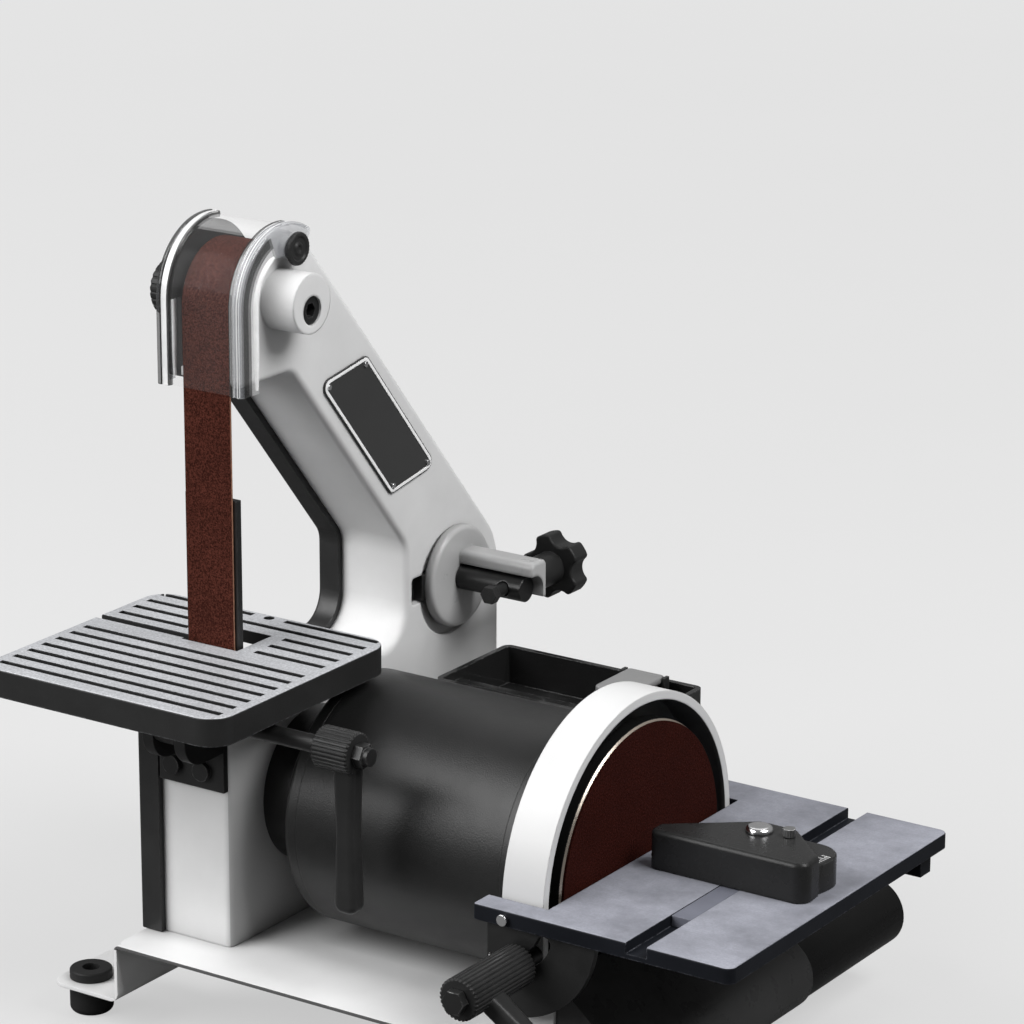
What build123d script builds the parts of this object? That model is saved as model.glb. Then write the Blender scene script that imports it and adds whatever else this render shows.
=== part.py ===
from build123d import *
import math
import os

# Belt and disc sander. Millimetres. The motor axis is the X axis, the disc faces +X at X = 0,
# +Y is the back and +Z is up. At the end everything moves to the frame of the four feet.

# Fits
run_fit = 0.02
slip_gap = 0.3
bolt_clear = 0.5
tap_clear = 0.05

# Disc, from its abrasive face back to the motor
disc_r = 63.5
abrasive_thick = 1.2
disc_thick = 8.0
disc_edge = 1.0
hub_r = 17.0
hub_len = 9.0
shaft_r = 7.5
shaft_setback = 3.0

# Disc guard
guard_setback = 1.5
guard_depth = 20.8
guard_r = 75.7
guard_wall = 3.0
guard_lip = 2.0
guard_mouth_r = 71.8
guard_low = -70.0
guard_corner = 18.0
trough_top = -26.0
trough_front = 4.0
guard_hub_clear = 2.5
guard_screw_ring = 45.0

# Dust hood and its tube
hood_half = 74.0
hood_slope_z = -27.5
hood_r = 17.5
hood_wall = 2.5
tube_x = 27.0
tube_z = -70.5
tube_r = 16.5
tube_wall = 2.5
tube_end = 160.0
tube_socket = 9.0

# Motor
motor_r = 57.8
motor_len = 128.7
shell_wall = 2.0
bell_rim_len = 7.0
bell_cup_len = 13.7
bell_wall = 4.0
bell_edge = 3.0
drum_r = 36.0
drum_len = 27.0
bearing_r = 17.5
bearing_len = 11.0
bearing_seat = 4.5
core_len = 60.0
core_bore = 30.0
rotor_gap = 0.4
winding_len = 15.0
winding_r_in = 33.0
winding_r_out = 50.0
fan_r = 28.0
fan_hub_r = 12.0
fan_len = 10.0
fan_setback = 3.0
fan_blades = 8
fan_blade_thick = 1.6
motor_screw_ring = 27.5
screw_count = 4
first_screw = 45.0
screw_r = 3.0
screw_head_r = 5.0
screw_head_len = 3.0
motor_screw_reach = 8.0

# Belt and its three wheels, places in (Y, Z)
belt_width = 25.4
belt_thick = 1.0
belt_gap_right = 2.9
belt_gap_left = 4.2
wheel_over = 0.8
wheel_gap = 0.3
drive_r = 44.7
idler_r = 25.3
idler_z = 227.2
track_r = 17.5
track_gap = 1.0
track_y = 114.5
track_z = 68.3
track_inset = 1.6
roller_bearing_r = 13.0
roller_bearing_len = 8.0
roller_bearing_inset = 1.0
pulley_crown = 1.0

# Arm and column casting
arm_wall = 4.5
arm_rim = 4.0
arm_floor = 10.0
column_front = -61.5
column_top = 46.0
throat_back = 76.0
throat_corner_z = 92.5
neck_y = -10.0
head_under = 195.0
head_r = 30.0
head_z = 230.4
head_round = 0.6
heel_y = 109.0
heel_top = 70.0
heel_r = 38.0
heel_back = 153.0
heel_round = 34.0
heel_z = 12.0
toe_y = 66.0
corner_small = 4.0
corner_heel = 14.0
corner_neck = 10.0
corner_throat = 18.0
corner_throat_top = 14.0
face_round = 3.0
belt_room_out = 5.0
belt_room_in = 3.0
wheel_room = 3.0
shaft_room = 2.0
head_open_drop = 5.0
boss_r = 13.5
boss_lift = 3.0
boss_len = 18.0
boss_bore_r = 6.5
boss_bore_len = 6.0
post_r = 6.0
post_y = 58.0
post_z = 22.0
slot_half = 6.6
slot_front = 80.0
slot_back = 144.0
slot_corner = 2.0
relief_r = 26.0
relief_y = -2.0
relief_z = -2.5
relief_deep = 2.5

# Side cover and its knob
cover_depth = 12.0
cover_skin = 2.0
cover_wall = 4.0
cover_grow = 3.0
cover_head_r = 21.5
cover_foot_gap = 0.3
cover_lip = 3.2
cover_edge = 2.0
cover_knob_r = 13.0
cover_knob_len = 13.0
cover_knob_flutes = 24
cover_knob_flute_r = 0.5
cover_stud_r = 3.0
cover_stud_len = 8.0
knob_edge = 1.2

# Idler axle
axle_r = 5.0
axle_head_len = 5.0
axle_end_gap = 0.3
socket_r = 3.5
socket_floor = 1.0

# Platen
platen_thick = 3.0
platen_right_gap = 1.9
platen_left_over = 1.2
platen_top = 143.0
platen_foot_back = -15.0
platen_screw_y = -27.0
platen_screw_in = 7.0
platen_screw_reach = 5.5

# Tension slide and tracking
flange_r = 24.5
flange_thick = 4.7
flange_edge = 2.0
rail_len = 41.0
rail_front = 2.5
rail_back = 10.2
rail_top = 13.5
rail_low = 4.5
rail_round = 3.0
channel_r = 7.2
track_axle_r = 5.0
axle_grip_r = 6.0
track_axle_right = 41.0
tilt_room = 0.5
pivot_x = 2.35
pivot_pin_r = 1.5
pivot_pin_half = 14.0
key_front = 26.5
key_back = 17.0
key_fit = 0.3
keeper_thick = 2.2
keeper_half_z = 15.0
keeper_front = 1.0
keeper_back = 20.0
spring_lift = 26.5
spring_r = 3.3
spring_wire_r = 0.55
spring_turns = 6
spring_lug_y = -6.0
spring_lug_thick = 3.0
spring_lug_half = 4.0
spring_x_in = 6.0
spring_boss_r = 4.2
track_screw_x = 31.5
track_screw_r = 3.0
track_screw_front = 18.0
track_nut_r = 4.4
track_nut_len = 4.5
star_gap = 24.3
star_len = 11.0
star_r = 15.8
star_lobes = 5
star_dent_r = 6.5
star_dent_ring = 18.2
star_edge = 2.0
star_hub_r = 8.0
cross_room = 0.6

# Eye shield
shield_thick = 1.5
shield_gap = 1.0
shield_bottom = 193.0
shield_back = -15.0
shield_tab_back = -2.0
shield_left_over = 5.0
shield_right_over = 4.5
band_width = 7.5
band_rise = 1.5
flange_deep = 12.0
shield_pivot_y = -14.6
shield_pivot_z = 252.4
shield_tab_low = 246.0
shield_tab_r = 17.0
shield_pad_r = 5.0
shield_knob_r = 7.5
shield_knob_len = 2.6
shield_knob_flutes = 18
shield_knob_flute_r = 0.6
shield_stud_r = 2.0
shield_stud_reach = 9.5

# Blank name plate with slanted ends
plate_long = 84.0
plate_end = 36.5
plate_thick = 1.0
plate_corner = 4.0
plate_y = 53.6
plate_z = 155.8
plate_lean = -49.8
plate_end_lean = 9.3
rivet_r = 1.3
rivet_in = 3.6
rivet_proud = 0.7
rivet_deep = 2.0

# Belt table
table_left = -264.4
table_right = -133.1
table_front = -126.0
table_back = 1.0
table_top = 75.1
table_plate = 6.0
table_skirt = 13.0
table_wall = 4.0
table_corner = 12.0
table_edge = 1.0
groove_wide = 3.5
groove_deep = 2.0
groove_end = 4.6
groove_first = -117.0
groove_pitch = 9.7
groove_front_rows = 7
rear_first = -43.8
rear_pitch = 10.2
rear_short_rows = 3
opening_clear = 1.3
opening_front = -48.0
opening_back = -22.5
opening_margin = 7.0
removal_wide = 5.0
drain_r = 2.5
drain_x = -198.4
drain_margin = 9.0
hinge_y = -80.0
hinge_z = 55.0
lug_left = -195.0
lug_right = -184.0
lug_r = 15.0
bracket_thick = 3.0
bracket_left = -214.0
bracket_low = 14.0
bracket_lug_thick = 5.9
bracket_lug_r = 12.0
bracket_lug_low = 33.0
bracket_screw_z = 22.5
bracket_screw_left = 8.0
bracket_screw_right = 5.5
arm_screw_r = 2.5
arm_screw_head_r = 4.5
arm_screw_head_len = 2.6
bracket_screw_reach = 7.0
rod_r = 4.0
rod_left_over = 8.0
rod_nut_len = 4.5
rod_nut_r = 5.6
rod_tip = 2.5
rod_knob_gap = 65.8

# Lock handles
knob_r = 9.5
knob_len = 18.5
long_knob_len = 44.0
knob_flutes = 30
knob_flute_r = 0.5
lever_len = 73.5
lever_at = 13.3
long_lever_at = 28.0
lever_root = 12.4
lever_waist = 9.6
lever_tip = 12.2
lever_thick = 9.0
lever_round = 3.0
lever_nut_gap = 0.8
lever_tip_round = 4.5

# Disc table
disc_table_left = -28.6
disc_table_right = 97.6
disc_table_strip_front = 11.1
disc_table_strip_back = 19.9
disc_table_top = 5.0
disc_table_thick = 7.2
disc_table_corner = 4.0
disc_table_tip = 1.2
disc_table_gap = 2.0
disc_table_side_gap = 1.5
mitre_slot_x = 52.2
mitre_slot_wide = 10.0
mitre_slot_deep = 5.0
lug_x = 87.0
lug_in = 9.1
lug_size = 9.0
lug_low = -14.0
pivot_y = -13.0
pivot_z = 1.0
pivot_r = 2.2
pivot_head_r = 2.5
pivot_head_len = 1.6
quadrant_in = 5.3
quadrant_thick = 3.0
quadrant_r = 44.0
quadrant_left = -22.8
stud_ring = 20.0
stud_angle = -68.0
tilt_most = 45.0
stud_r = 3.0
stud_slot_half = 3.4
stud_boss_r = 4.0
stud_end_nut = 4.0
stud_nut_r = 5.6
disc_knob_gap = 0.6
lever_two_lean = -35.0
pointer_x = -21.2
pointer_z = -20.0
pointer_wide = 3.0
pointer_high = 7.0
pointer_thick = 1.0

# Mitre gauge
bar_side_gap = 0.25
bar_low_gap = 0.1
bar_top_gap = 0.2
bar_front = -53.0
bar_back = 40.0
head_gap = 0.2
head_high = 17.8
head_face = -14.2
head_left = 11.7
head_right = 89.0
head_face_thick = 14.0
mitre_pivot_y = 10.0
protractor_r = 36.0
protractor_deep = 9.0
protractor_high = 13.5
protractor_from = -10.0
protractor_nose = 11.5
head_hub_r = 12.0
head_edge = 0.8
head_top_round = 2.2
head_corner_near = 3.5
head_corner_end = 6.0
mitre_screw_r = 3.0
mitre_dome_r = 6.0
mitre_dome_len = 2.4
mitre_lock_x = 66.0
mitre_lock_y = 11.5
mitre_lock_r = 2.7
mitre_lock_len = 3.6
mitre_lock_flutes = 16
mitre_lock_stud = 1.5

# Base and feet
motor_base_gap = 3.2
base_thick = 1.6
base_left = -224.0
base_right = -34.0
base_front = -88.0
base_back_margin = 6.0
base_corner = 8.0
leg_wide = 48.0
leg_drop = 26.5
tab_left_len = 38.0
tab_right_len = 36.0
tab_corner = 8.0
bend_r = 3.0
foot_from_leg_left = 26.0
foot_from_leg_right = 24.0
foot_inset = 15.0
foot_tall = 14.9
foot_r = 10.0
foot_neck_r = 6.5
foot_ring_r = 9.8
foot_ring_rise = 4.5
foot_hole_r = 4.0
bolt_head_len = 4.0
bolt_head_r = 5.8
bolt_reach = 7.5
arm_bolt_x = 8.5
arm_bolt_front = -40.0
arm_bolt_back = 40.0
box_bolt_in = 16.0

# Switch box
box_left = -142.0
box_right = -34.0
box_motor_gap = 4.2
box_deep = 44.0
box_top = 43.0
box_wall = 2.5
box_corner = 4.0
tray_motor_gap = 1.28
tray_low = 36.0
recess_deep = 18.0
switch_x = -60.0
switch_body_long = 18.0
switch_body_wide = 22.0
switch_body_top = 44.2
switch_body_low = 8.0
switch_fit = 0.5
switch_flange_over = 5.0
switch_flange_thick = 2.5
switch_body_in = 9.0
ear_thick = 1.6
ear_wide = 4.2
ear_top = 47.5
paddle_long = 20.0
paddle_in = 7.0
paddle_low = 45.0
paddle_thick = 2.6
paddle_pin_in = 2.5
paddle_pin_r = 0.9
paddle_lip = 3.0
capacitor_r = 16.0
capacitor_len = 60.0
capacitor_right = -59.0
gland_x = -60.0
gland_z = -38.0
gland_r = 7.0
gland_flange_r = 10.0
gland_flange_len = 3.0
gland_len = 12.0
gland_hole_r = 3.5

# Places along X
disc_front = -abrasive_thick
disc_back = disc_front - disc_thick
guard_front = -guard_setback
guard_back = guard_front - guard_depth
motor_right = guard_back
motor_left = motor_right - motor_len
arm_right = motor_left - drum_len
arm_inside = arm_right - arm_wall
belt_right = arm_inside - belt_gap_right
belt_left = belt_right - belt_width
arm_left = belt_left - belt_gap_left
cover_left = arm_left - cover_depth
wheel_right = belt_right + wheel_over
wheel_left = belt_left - wheel_over
shell_right = motor_right - bell_cup_len
shell_left = motor_left + bell_rim_len
core_mid = (shell_left + shell_right) / 2
core_left = core_mid - core_len / 2
core_right = core_mid + core_len / 2
boss_right = arm_right + boss_len
bracket_right = arm_right

# Heights of the base and places of the box behind the motor
base_top = -motor_r - motor_base_gap
tab_top = base_top - leg_drop
tab_low = tab_top - base_thick
foot_low = tab_low - foot_tall
bolt_top = base_top + bolt_reach
box_front = motor_r + box_motor_gap
box_back = box_front + box_deep
tray_front = math.sqrt(motor_r**2 - tray_low**2) + tray_motor_gap
switch_body_front = box_front + switch_body_in
paddle_front = box_front + paddle_in
paddle_back = box_back - paddle_in
paddle_pin_y = paddle_back - paddle_pin_in
base_back = box_back + base_back_margin

# Places of the disc table round the guard
strip_inside = guard_r + disc_table_side_gap
disc_table_front = -strip_inside - disc_table_strip_front
disc_table_back = strip_inside + disc_table_strip_back
lug_y = disc_table_back - lug_in
quadrant_back = disc_table_front + quadrant_in
disc_knob_start = disc_table_front - disc_knob_gap

# Wheel centres in (Y, Z); the front run of the belt is upright
drive_at = Vector(0, 0)
idler_at = Vector(idler_r - drive_r, idler_z)
head_at = Vector(idler_at.X, head_z)
heel_at = Vector(heel_y, heel_top)
track_at = Vector(track_y, track_z)
belt_inside = drive_r + wheel_gap
belt_front = -belt_inside - belt_thick
foot_x_left = base_left - foot_from_leg_left
foot_x_right = base_right + foot_from_leg_right
foot_y_front = base_front + foot_inset
foot_y_back = base_back - foot_inset


def block(x0, x1, y0, y1, z0, z1):
    middle = Pos((x0 + x1) / 2, (y0 + y1) / 2, (z0 + z1) / 2)
    return middle * Box(x1 - x0, y1 - y0, z1 - z0)


def rod_x(r, x0, x1, y=0.0, z=0.0):
    return Pos((x0 + x1) / 2, y, z) * Rot(0, 90, 0) * Cylinder(r, x1 - x0)


def rod_y(r, y0, y1, x, z):
    return Pos(x, (y0 + y1) / 2, z) * Rot(90, 0, 0) * Cylinder(r, y1 - y0)


def rod_z(r, z0, z1, x, y):
    return Pos(x, y, (z0 + z1) / 2) * Cylinder(r, z1 - z0)


def slab_x(face, x0, x1):
    return extrude(Plane.YZ.offset(x0) * face, x1 - x0)


def slab_y(face, y0, y1):
    side = Plane(origin=(0, y1, 0), x_dir=(1, 0, 0), z_dir=(0, -1, 0))
    return extrude(side * face, y1 - y0)


def slab_z(face, z0, z1):
    return extrude(Pos(0, 0, z0) * face, z1 - z0)


def polygon(*points):
    return make_face(Polyline(*points, close=True))


def on_circle(centre, r, angle):
    return Vector(centre.X + r * math.cos(angle), centre.Y + r * math.sin(angle))


def fluted(r, flute_r, count):
    return Circle(r) - PolarLocations(r, count) * Circle(flute_r)


def hexagon(r):
    return RegularPolygon(r, 6)


def loop_edges(grow):
    """Outline of the belt's inner face, grown outwards, as tangent lines and arcs."""
    centres = [drive_at, track_at, idler_at]
    radii = [belt_inside + grow, track_r + track_gap + grow, idler_r + wheel_gap + grow]
    normals = []
    for i in range(3):
        along = centres[(i + 1) % 3] - centres[i]
        turn = math.acos((radii[i] - radii[(i + 1) % 3]) / along.length)
        normals.append(math.atan2(along.Y, along.X) - turn)
    edges = []
    for i in range(3):
        j = (i + 1) % 3
        start = on_circle(centres[i], radii[i], normals[i])
        end = on_circle(centres[j], radii[j], normals[i])
        sweep_angle = (normals[j] - normals[i]) % (2 * math.pi)
        middle = on_circle(centres[j], radii[j], normals[i] + sweep_angle / 2)
        finish = on_circle(centres[j], radii[j], normals[j])
        edges.append(Line(start, end))
        edges.append(ThreePointArc(end, middle, finish))
    return edges


def loop_face(grow):
    return make_face(Wire(loop_edges(grow)))


def arm_face(head):
    """Outline of the arm and column; head is the radius round the top wheel."""
    back_run = heel_at - head_at
    lean = math.atan2(back_run.Y, back_run.X) + math.acos((head - heel_r) / back_run.length)
    top_z = head_at.Y + head
    top_y = head_at.X + (head - head * math.sin(lean)) / math.cos(lean)
    shoulder_z = heel_at.Y + (heel_r - (heel_back - heel_at.X) * math.cos(lean)) / math.sin(lean)
    front_y = head_at.X - head
    head_corner = head - head_round
    points = [
        (column_front, base_top),
        (column_front, column_top),
        (throat_back, column_top),
        (throat_back, throat_corner_z),
        (neck_y, head_under),
        (front_y, head_under),
        (front_y, top_z),
        (top_y, top_z),
        (heel_back, shoulder_z),
        (heel_back, heel_z),
        (toe_y, base_top),
    ]
    radii = [
        0,
        corner_small,
        corner_throat,
        corner_throat_top,
        corner_neck,
        corner_small,
        head_corner,
        head_corner,
        heel_round,
        corner_heel,
        0,
    ]
    return make_face(FilletPolyline(*points, radius=radii, close=True))


def arch_face(r, low, corner):
    """Round-topped outline with straight sides and rounded lower corners."""
    sides = FilletPolyline((r, 0), (r, low), (-r, low), (-r, 0), radius=corner)
    crown = ThreePointArc((-r, 0), (0, r), (r, 0))
    return make_face(sides.edges() + [crown])


def wheel(r, x0, x1, at, bore_r):
    """Belt wheel with eased shoulders."""
    body = rod_x(r, x0, x1, at.X, at.Y)
    body = chamfer(body.edges().filter_by(GeomType.CIRCLE), pulley_crown)
    return body - rod_x(bore_r, x0, x1, at.X, at.Y)


def lock_handle(bore_r, length, middle, nut_r):
    """Fluted knob along +Z from the origin with a lever along +X at the middle height."""
    knob = extrude(fluted(knob_r, knob_flute_r, knob_flutes), length)
    knob = chamfer(knob.edges().group_by(Axis.Z)[0], knob_edge / 2)
    knob = chamfer(knob.edges().group_by(Axis.Z)[-1], knob_edge / 2)
    side = polygon(
        (0, middle - lever_root / 2),
        (lever_len / 2, middle - lever_waist / 2),
        (lever_len, middle - lever_tip / 2),
        (lever_len, middle + lever_tip / 2),
        (lever_len / 2, middle + lever_waist / 2),
        (0, middle + lever_root / 2),
    )
    lever = slab_y(side, -lever_thick / 2, lever_thick / 2)
    tip = lever.edges().filter_by(Axis.Y).group_by(Axis.X)[-1]
    lever = fillet(tip, lever_tip_round)
    lever = fillet(lever.faces().sort_by(Axis.Y)[0].outer_wire().edges(), lever_round)
    lever = fillet(lever.faces().sort_by(Axis.Y)[-1].outer_wire().edges(), lever_round)
    nut_room = Pos(0, 0, length + knob_len / 2) * Cylinder(nut_r + lever_nut_gap, knob_len)
    return knob + lever - nut_room - Pos(0, 0, length / 2) * Cylinder(bore_r, length)


parts = {}

# Motor: turning parts
shaft = rod_x(shaft_r, wheel_left, -shaft_setback)
parts["motor_shaft"] = shaft
disc = rod_x(disc_r, disc_back, disc_front)
disc = chamfer(disc.edges().filter_by(GeomType.CIRCLE), disc_edge)
disc = disc + rod_x(hub_r, disc_back - hub_len, disc_back)
parts["disc_plate"] = disc - shaft
parts["abrasive_disc"] = rod_x(disc_r - disc_edge, disc_front, 0)
parts["rotor_core"] = rod_x(core_bore - rotor_gap, core_left, core_right) - shaft
fan_left = core_right + fan_setback
fan = rod_x(fan_hub_r, fan_left, fan_left + fan_len)
for turn in range(fan_blades):
    blade = block(fan_left, fan_left + fan_len, 0, fan_r, -fan_blade_thick / 2, fan_blade_thick / 2)
    fan = fan + Rot(turn * 360 / fan_blades, 0, 0) * blade
parts["cooling_fan"] = fan - shaft

# Motor: still parts
shell = rod_x(motor_r, shell_left, shell_right) - rod_x(motor_r - shell_wall, shell_left, shell_right)
parts["motor_shell"] = shell
seat_r = bearing_r + bearing_seat
drum_in = arm_right + bell_wall
bearing_left = (drum_in, drum_in + bearing_len)
bell_in = motor_right - bell_wall
bearing_right = (bell_in - bearing_len, bell_in)
shaft_hole_r = shaft_r + shaft_room
bell = rod_x(motor_r, motor_left, shell_left)
bell = fillet(bell.edges().filter_by(GeomType.CIRCLE).sort_by(Axis.X)[0], bell_edge)
bell = bell + rod_x(drum_r, arm_right, motor_left)
bell = bell - rod_x(drum_r - bell_wall, drum_in, shell_left)
bell = bell - rod_x(motor_r - bell_wall, motor_left + bell_wall, shell_left)
bell = bell + rod_x(seat_r, *bearing_left)
bell = bell - rod_x(bearing_r, *bearing_left)
bell = bell - rod_x(shaft_hole_r, arm_right, drum_in)
cup = rod_x(motor_r, shell_right, motor_right)
cup = fillet(cup.edges().filter_by(GeomType.CIRCLE).sort_by(Axis.X)[-1], bell_edge)
cup = cup - rod_x(motor_r - bell_wall, shell_right, bell_in)
cup = cup + rod_x(seat_r, *bearing_right)
cup = cup - rod_x(bearing_r, *bearing_right)
cup = cup - rod_x(shaft_hole_r, bell_in, motor_right)
bearings = []
for ends in (bearing_left, bearing_right):
    bearings.append(rod_x(bearing_r, *ends) - rod_x(shaft_r + run_fit, *ends))
parts["shaft_bearings"] = Compound(bearings)
parts["stator_core"] = rod_x(motor_r - shell_wall, core_left, core_right) - rod_x(core_bore, core_left, core_right)
windings = []
for start in (core_left - winding_len, core_right):
    coil = rod_x(winding_r_out, start, start + winding_len)
    windings.append(coil - rod_x(winding_r_in, start, start + winding_len))
parts["stator_windings"] = Compound(windings)

# Disc guard, dust hood and the screws that hold the guard to the motor
guard = slab_x(arch_face(guard_r, guard_low, guard_corner), guard_back, guard_front)
low_half = block(guard_back, trough_front, -guard_r, guard_r, guard_low, trough_top)
guard = guard + (slab_x(arch_face(guard_r, guard_low, guard_corner), guard_front, trough_front) & low_half)
hollow = arch_face(guard_r - guard_wall, guard_low + guard_wall, guard_corner - guard_wall)
guard = guard - slab_x(hollow, guard_back + guard_wall, guard_front - guard_lip)
guard = guard - slab_x(arch_face(guard_mouth_r, guard_low + guard_wall, guard_corner), guard_front - guard_lip, guard_front)
low_mouth = block(guard_front - guard_lip, trough_front, -guard_r, guard_r, guard_low, trough_top)
guard = guard - (slab_x(hollow, guard_front - guard_lip, trough_front) & low_mouth)
guard = guard - rod_x(hub_r + guard_hub_clear, guard_back, disc_back)
screws = []
for turn in range(screw_count):
    angle = math.radians(first_screw + turn * 360 / screw_count)
    y = guard_screw_ring * math.cos(angle)
    z = guard_screw_ring * math.sin(angle)
    inside = guard_back + guard_wall
    hole = rod_x(screw_r, guard_back - bell_wall, inside, y, z)
    screws.append(hole + rod_x(screw_head_r, inside, inside + screw_head_len, y, z))
    guard = guard - rod_x(screw_r, guard_back, inside, y, z)
    cup = cup - rod_x(screw_r, bell_in, motor_right, y, z)
parts["end_bell_right"] = cup


def hood_section(inset):
    """Chute from the guard's mouth down to a round trough in line with the tube, in (X, Z)."""
    r = hood_r - inset
    left = trough_front + inset
    top = hood_slope_z - inset * 2
    away = math.atan2(top - tube_z, left - tube_x)
    touch = away - math.acos(r / math.hypot(left - tube_x, top - tube_z))
    slope = polygon(
        (left, top),
        (tube_x + r * math.cos(touch), tube_z + r * math.sin(touch)),
        (tube_x, tube_z),
        (tube_x, tube_z - r),
        (left, tube_z - r),
    )
    return slope + Pos(tube_x, tube_z) * Circle(r)


hood_side = hood_section(0)
hood = slab_y(hood_side, -hood_half, hood_half)
hood_inside = hood_section(hood_wall)
hood = hood - slab_y(hood_inside, hood_wall - hood_half, hood_half - hood_wall)
mouth_half = guard_r - guard_corner
mouth_top = hood_slope_z - 2 * hood_wall
mouth_low = guard_low + guard_wall
hood = hood - block(trough_front, trough_front + hood_wall, -mouth_half, mouth_half, mouth_low, mouth_top)
hood = hood + rod_y(tube_r, hood_half, tube_end, tube_x, tube_z)
parts["dust_hood"] = hood - rod_y(tube_r - tube_wall, hood_half - tube_socket, tube_end, tube_x, tube_z)

# Belt, its wheels and bearings
belt_slab = slab_x(loop_face(belt_thick), belt_left, belt_right)
parts["sanding_belt"] = belt_slab - slab_x(loop_face(0), belt_left, belt_right)
parts["drive_wheel"] = wheel(drive_r, wheel_left, wheel_right, drive_at, shaft_r)
track_right = belt_right - track_inset
parts["idler_wheel"] = wheel(idler_r, wheel_left, wheel_right, idler_at, roller_bearing_r)
parts["tracking_wheel"] = wheel(track_r, wheel_left, track_right, track_at, roller_bearing_r)


def roller_bearings(right, at, bore_r):
    pair = []
    starts = (wheel_left + roller_bearing_inset, right - roller_bearing_inset - roller_bearing_len)
    for start in starts:
        outer = rod_x(roller_bearing_r, start, start + roller_bearing_len, at.X, at.Y)
        pair.append(outer - rod_x(bore_r, start, start + roller_bearing_len, at.X, at.Y))
    return Compound(pair)


parts["idler_bearings"] = roller_bearings(wheel_right, idler_at, axle_r + run_fit)
parts["tracking_bearings"] = roller_bearings(track_right, track_at, track_axle_r + run_fit)

# Idler axle: headed pin through the boss, tapped at its far end for the cover knob
cover_inside = cover_left + cover_skin
axle_left = cover_inside + axle_end_gap
axle = rod_x(axle_r, axle_left, boss_right - boss_bore_len, idler_at.X, idler_at.Y)
head_left_x = boss_right - boss_bore_len
axle = axle + rod_x(boss_bore_r, head_left_x, head_left_x + axle_head_len, idler_at.X, idler_at.Y)
socket = slab_x(Pos(idler_at.X, idler_at.Y) * hexagon(socket_r), head_left_x + socket_floor, boss_right)
axle = axle - socket
stud_left = cover_left - slip_gap
stud_right = axle_left + cover_stud_len
parts["idler_axle"] = axle - rod_x(cover_stud_r + tap_clear, axle_left, stud_right, idler_at.X, idler_at.Y)

# Arm and column casting
outline_face = arm_face(head_r)
arm = slab_x(outline_face, arm_left, arm_right)
arm_edges = arm.faces().sort_by(Axis.X)[-1].outer_wire().edges().sort_by(Axis.Z)
arm = fillet(arm_edges[1:], face_round)
inner_face = offset(outline_face, -arm_rim, kind=Kind.ARC)
floor_keep = block(arm_left, arm_right, column_front, slot_back, base_top, base_top + arm_floor)
arm = arm - (slab_x(inner_face, arm_left, arm_inside) - floor_keep)
band = loop_face(belt_thick + belt_room_out) - loop_face(-belt_room_in)
arm = arm - slab_x(band, arm_left, arm_inside)
arm = arm - rod_x(drive_r + wheel_room, arm_left, arm_inside)
arm = arm - rod_x(idler_r + wheel_room, arm_left, arm_inside, idler_at.X, idler_at.Y)
open_z = idler_z - head_open_drop
arm = arm - block(arm_left, arm_inside, column_front, slot_back, open_z, head_z + heel_r)
arm = arm + rod_x(post_r, cover_inside, arm_inside, post_y, post_z)
arm = arm + rod_x(boss_r, arm_inside, boss_right, idler_at.X, idler_at.Y + boss_lift)
shield_right = belt_right + wheel_over + shield_right_over + belt_gap_right + arm_wall
pad_right = shield_right - shield_thick - slip_gap
arm = arm + rod_x(shield_pad_r, arm_inside, pad_right, shield_pivot_y, shield_pivot_z)
arm = arm - rod_x(shield_stud_r + tap_clear, belt_right, pad_right, shield_pivot_y, shield_pivot_z)
arm = arm - rod_x(axle_r, arm_inside, boss_right, idler_at.X, idler_at.Y)
arm = arm - rod_x(boss_bore_r, boss_right - boss_bore_len, boss_right, idler_at.X, idler_at.Y)
arm = arm - rod_x(shaft_hole_r, arm_inside, arm_right)
relief = rod_x(relief_r, arm_right - relief_deep, arm_right, track_at.X + relief_y, track_at.Y + relief_z)
arm = arm - relief
slot_long = slot_back - slot_front
slot = RectangleRounded(slot_long, 2 * slot_half, slot_corner)
arm = arm - slab_x(Pos((slot_front + slot_back) / 2, track_z) * slot, arm_inside, arm_right)

# Screws from inside the arm into the motor's drum
for turn in range(screw_count):
    angle = math.radians(first_screw + turn * 360 / screw_count)
    y = motor_screw_ring * math.cos(angle)
    z = motor_screw_ring * math.sin(angle)
    head_end = arm_inside + screw_head_len
    shank = rod_x(screw_r, head_end, head_end + motor_screw_reach, y, z)
    head = rod_x(screw_head_r, arm_inside, head_end, y, z)
    screws.append(shank + head)
    arm = arm - rod_x(screw_head_r, arm_inside, head_end, y, z)
    arm = arm - rod_x(screw_r, arm_inside, arm_right, y, z)
    bell = bell - shank
parts["motor_screws"] = Compound(screws)
parts["end_bell_left"] = bell

# Platen behind the belt, on top of the column
platen_front = belt_front + belt_thick + wheel_gap
platen_left = belt_left - platen_left_over
platen_right = belt_right + platen_right_gap
platen = block(platen_left, platen_right, platen_front, platen_front + platen_thick, column_top, platen_top)
platen_foot = block(platen_left, platen_right, platen_front, platen_foot_back, column_top, column_top + platen_thick)
platen = platen + platen_foot
bend = platen.edges().filter_by(Axis.X).group_by(Axis.Z)[0].sort_by(Axis.Y)[0]
platen = fillet(bend, platen_thick)
arm_screws = []
for x in (platen_left + platen_screw_in, platen_right - platen_screw_in):
    foot_top = column_top + platen_thick
    shank = rod_z(arm_screw_r, column_top - platen_screw_reach, foot_top, x, platen_screw_y)
    arm_screws.append(shank + rod_z(arm_screw_head_r, foot_top, foot_top + arm_screw_head_len, x, platen_screw_y))
    platen = platen - rod_z(arm_screw_r, column_top, foot_top, x, platen_screw_y)
    arm = arm - rod_z(arm_screw_r, column_top - arm_rim, column_top, x, platen_screw_y)
parts["platen"] = platen

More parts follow.
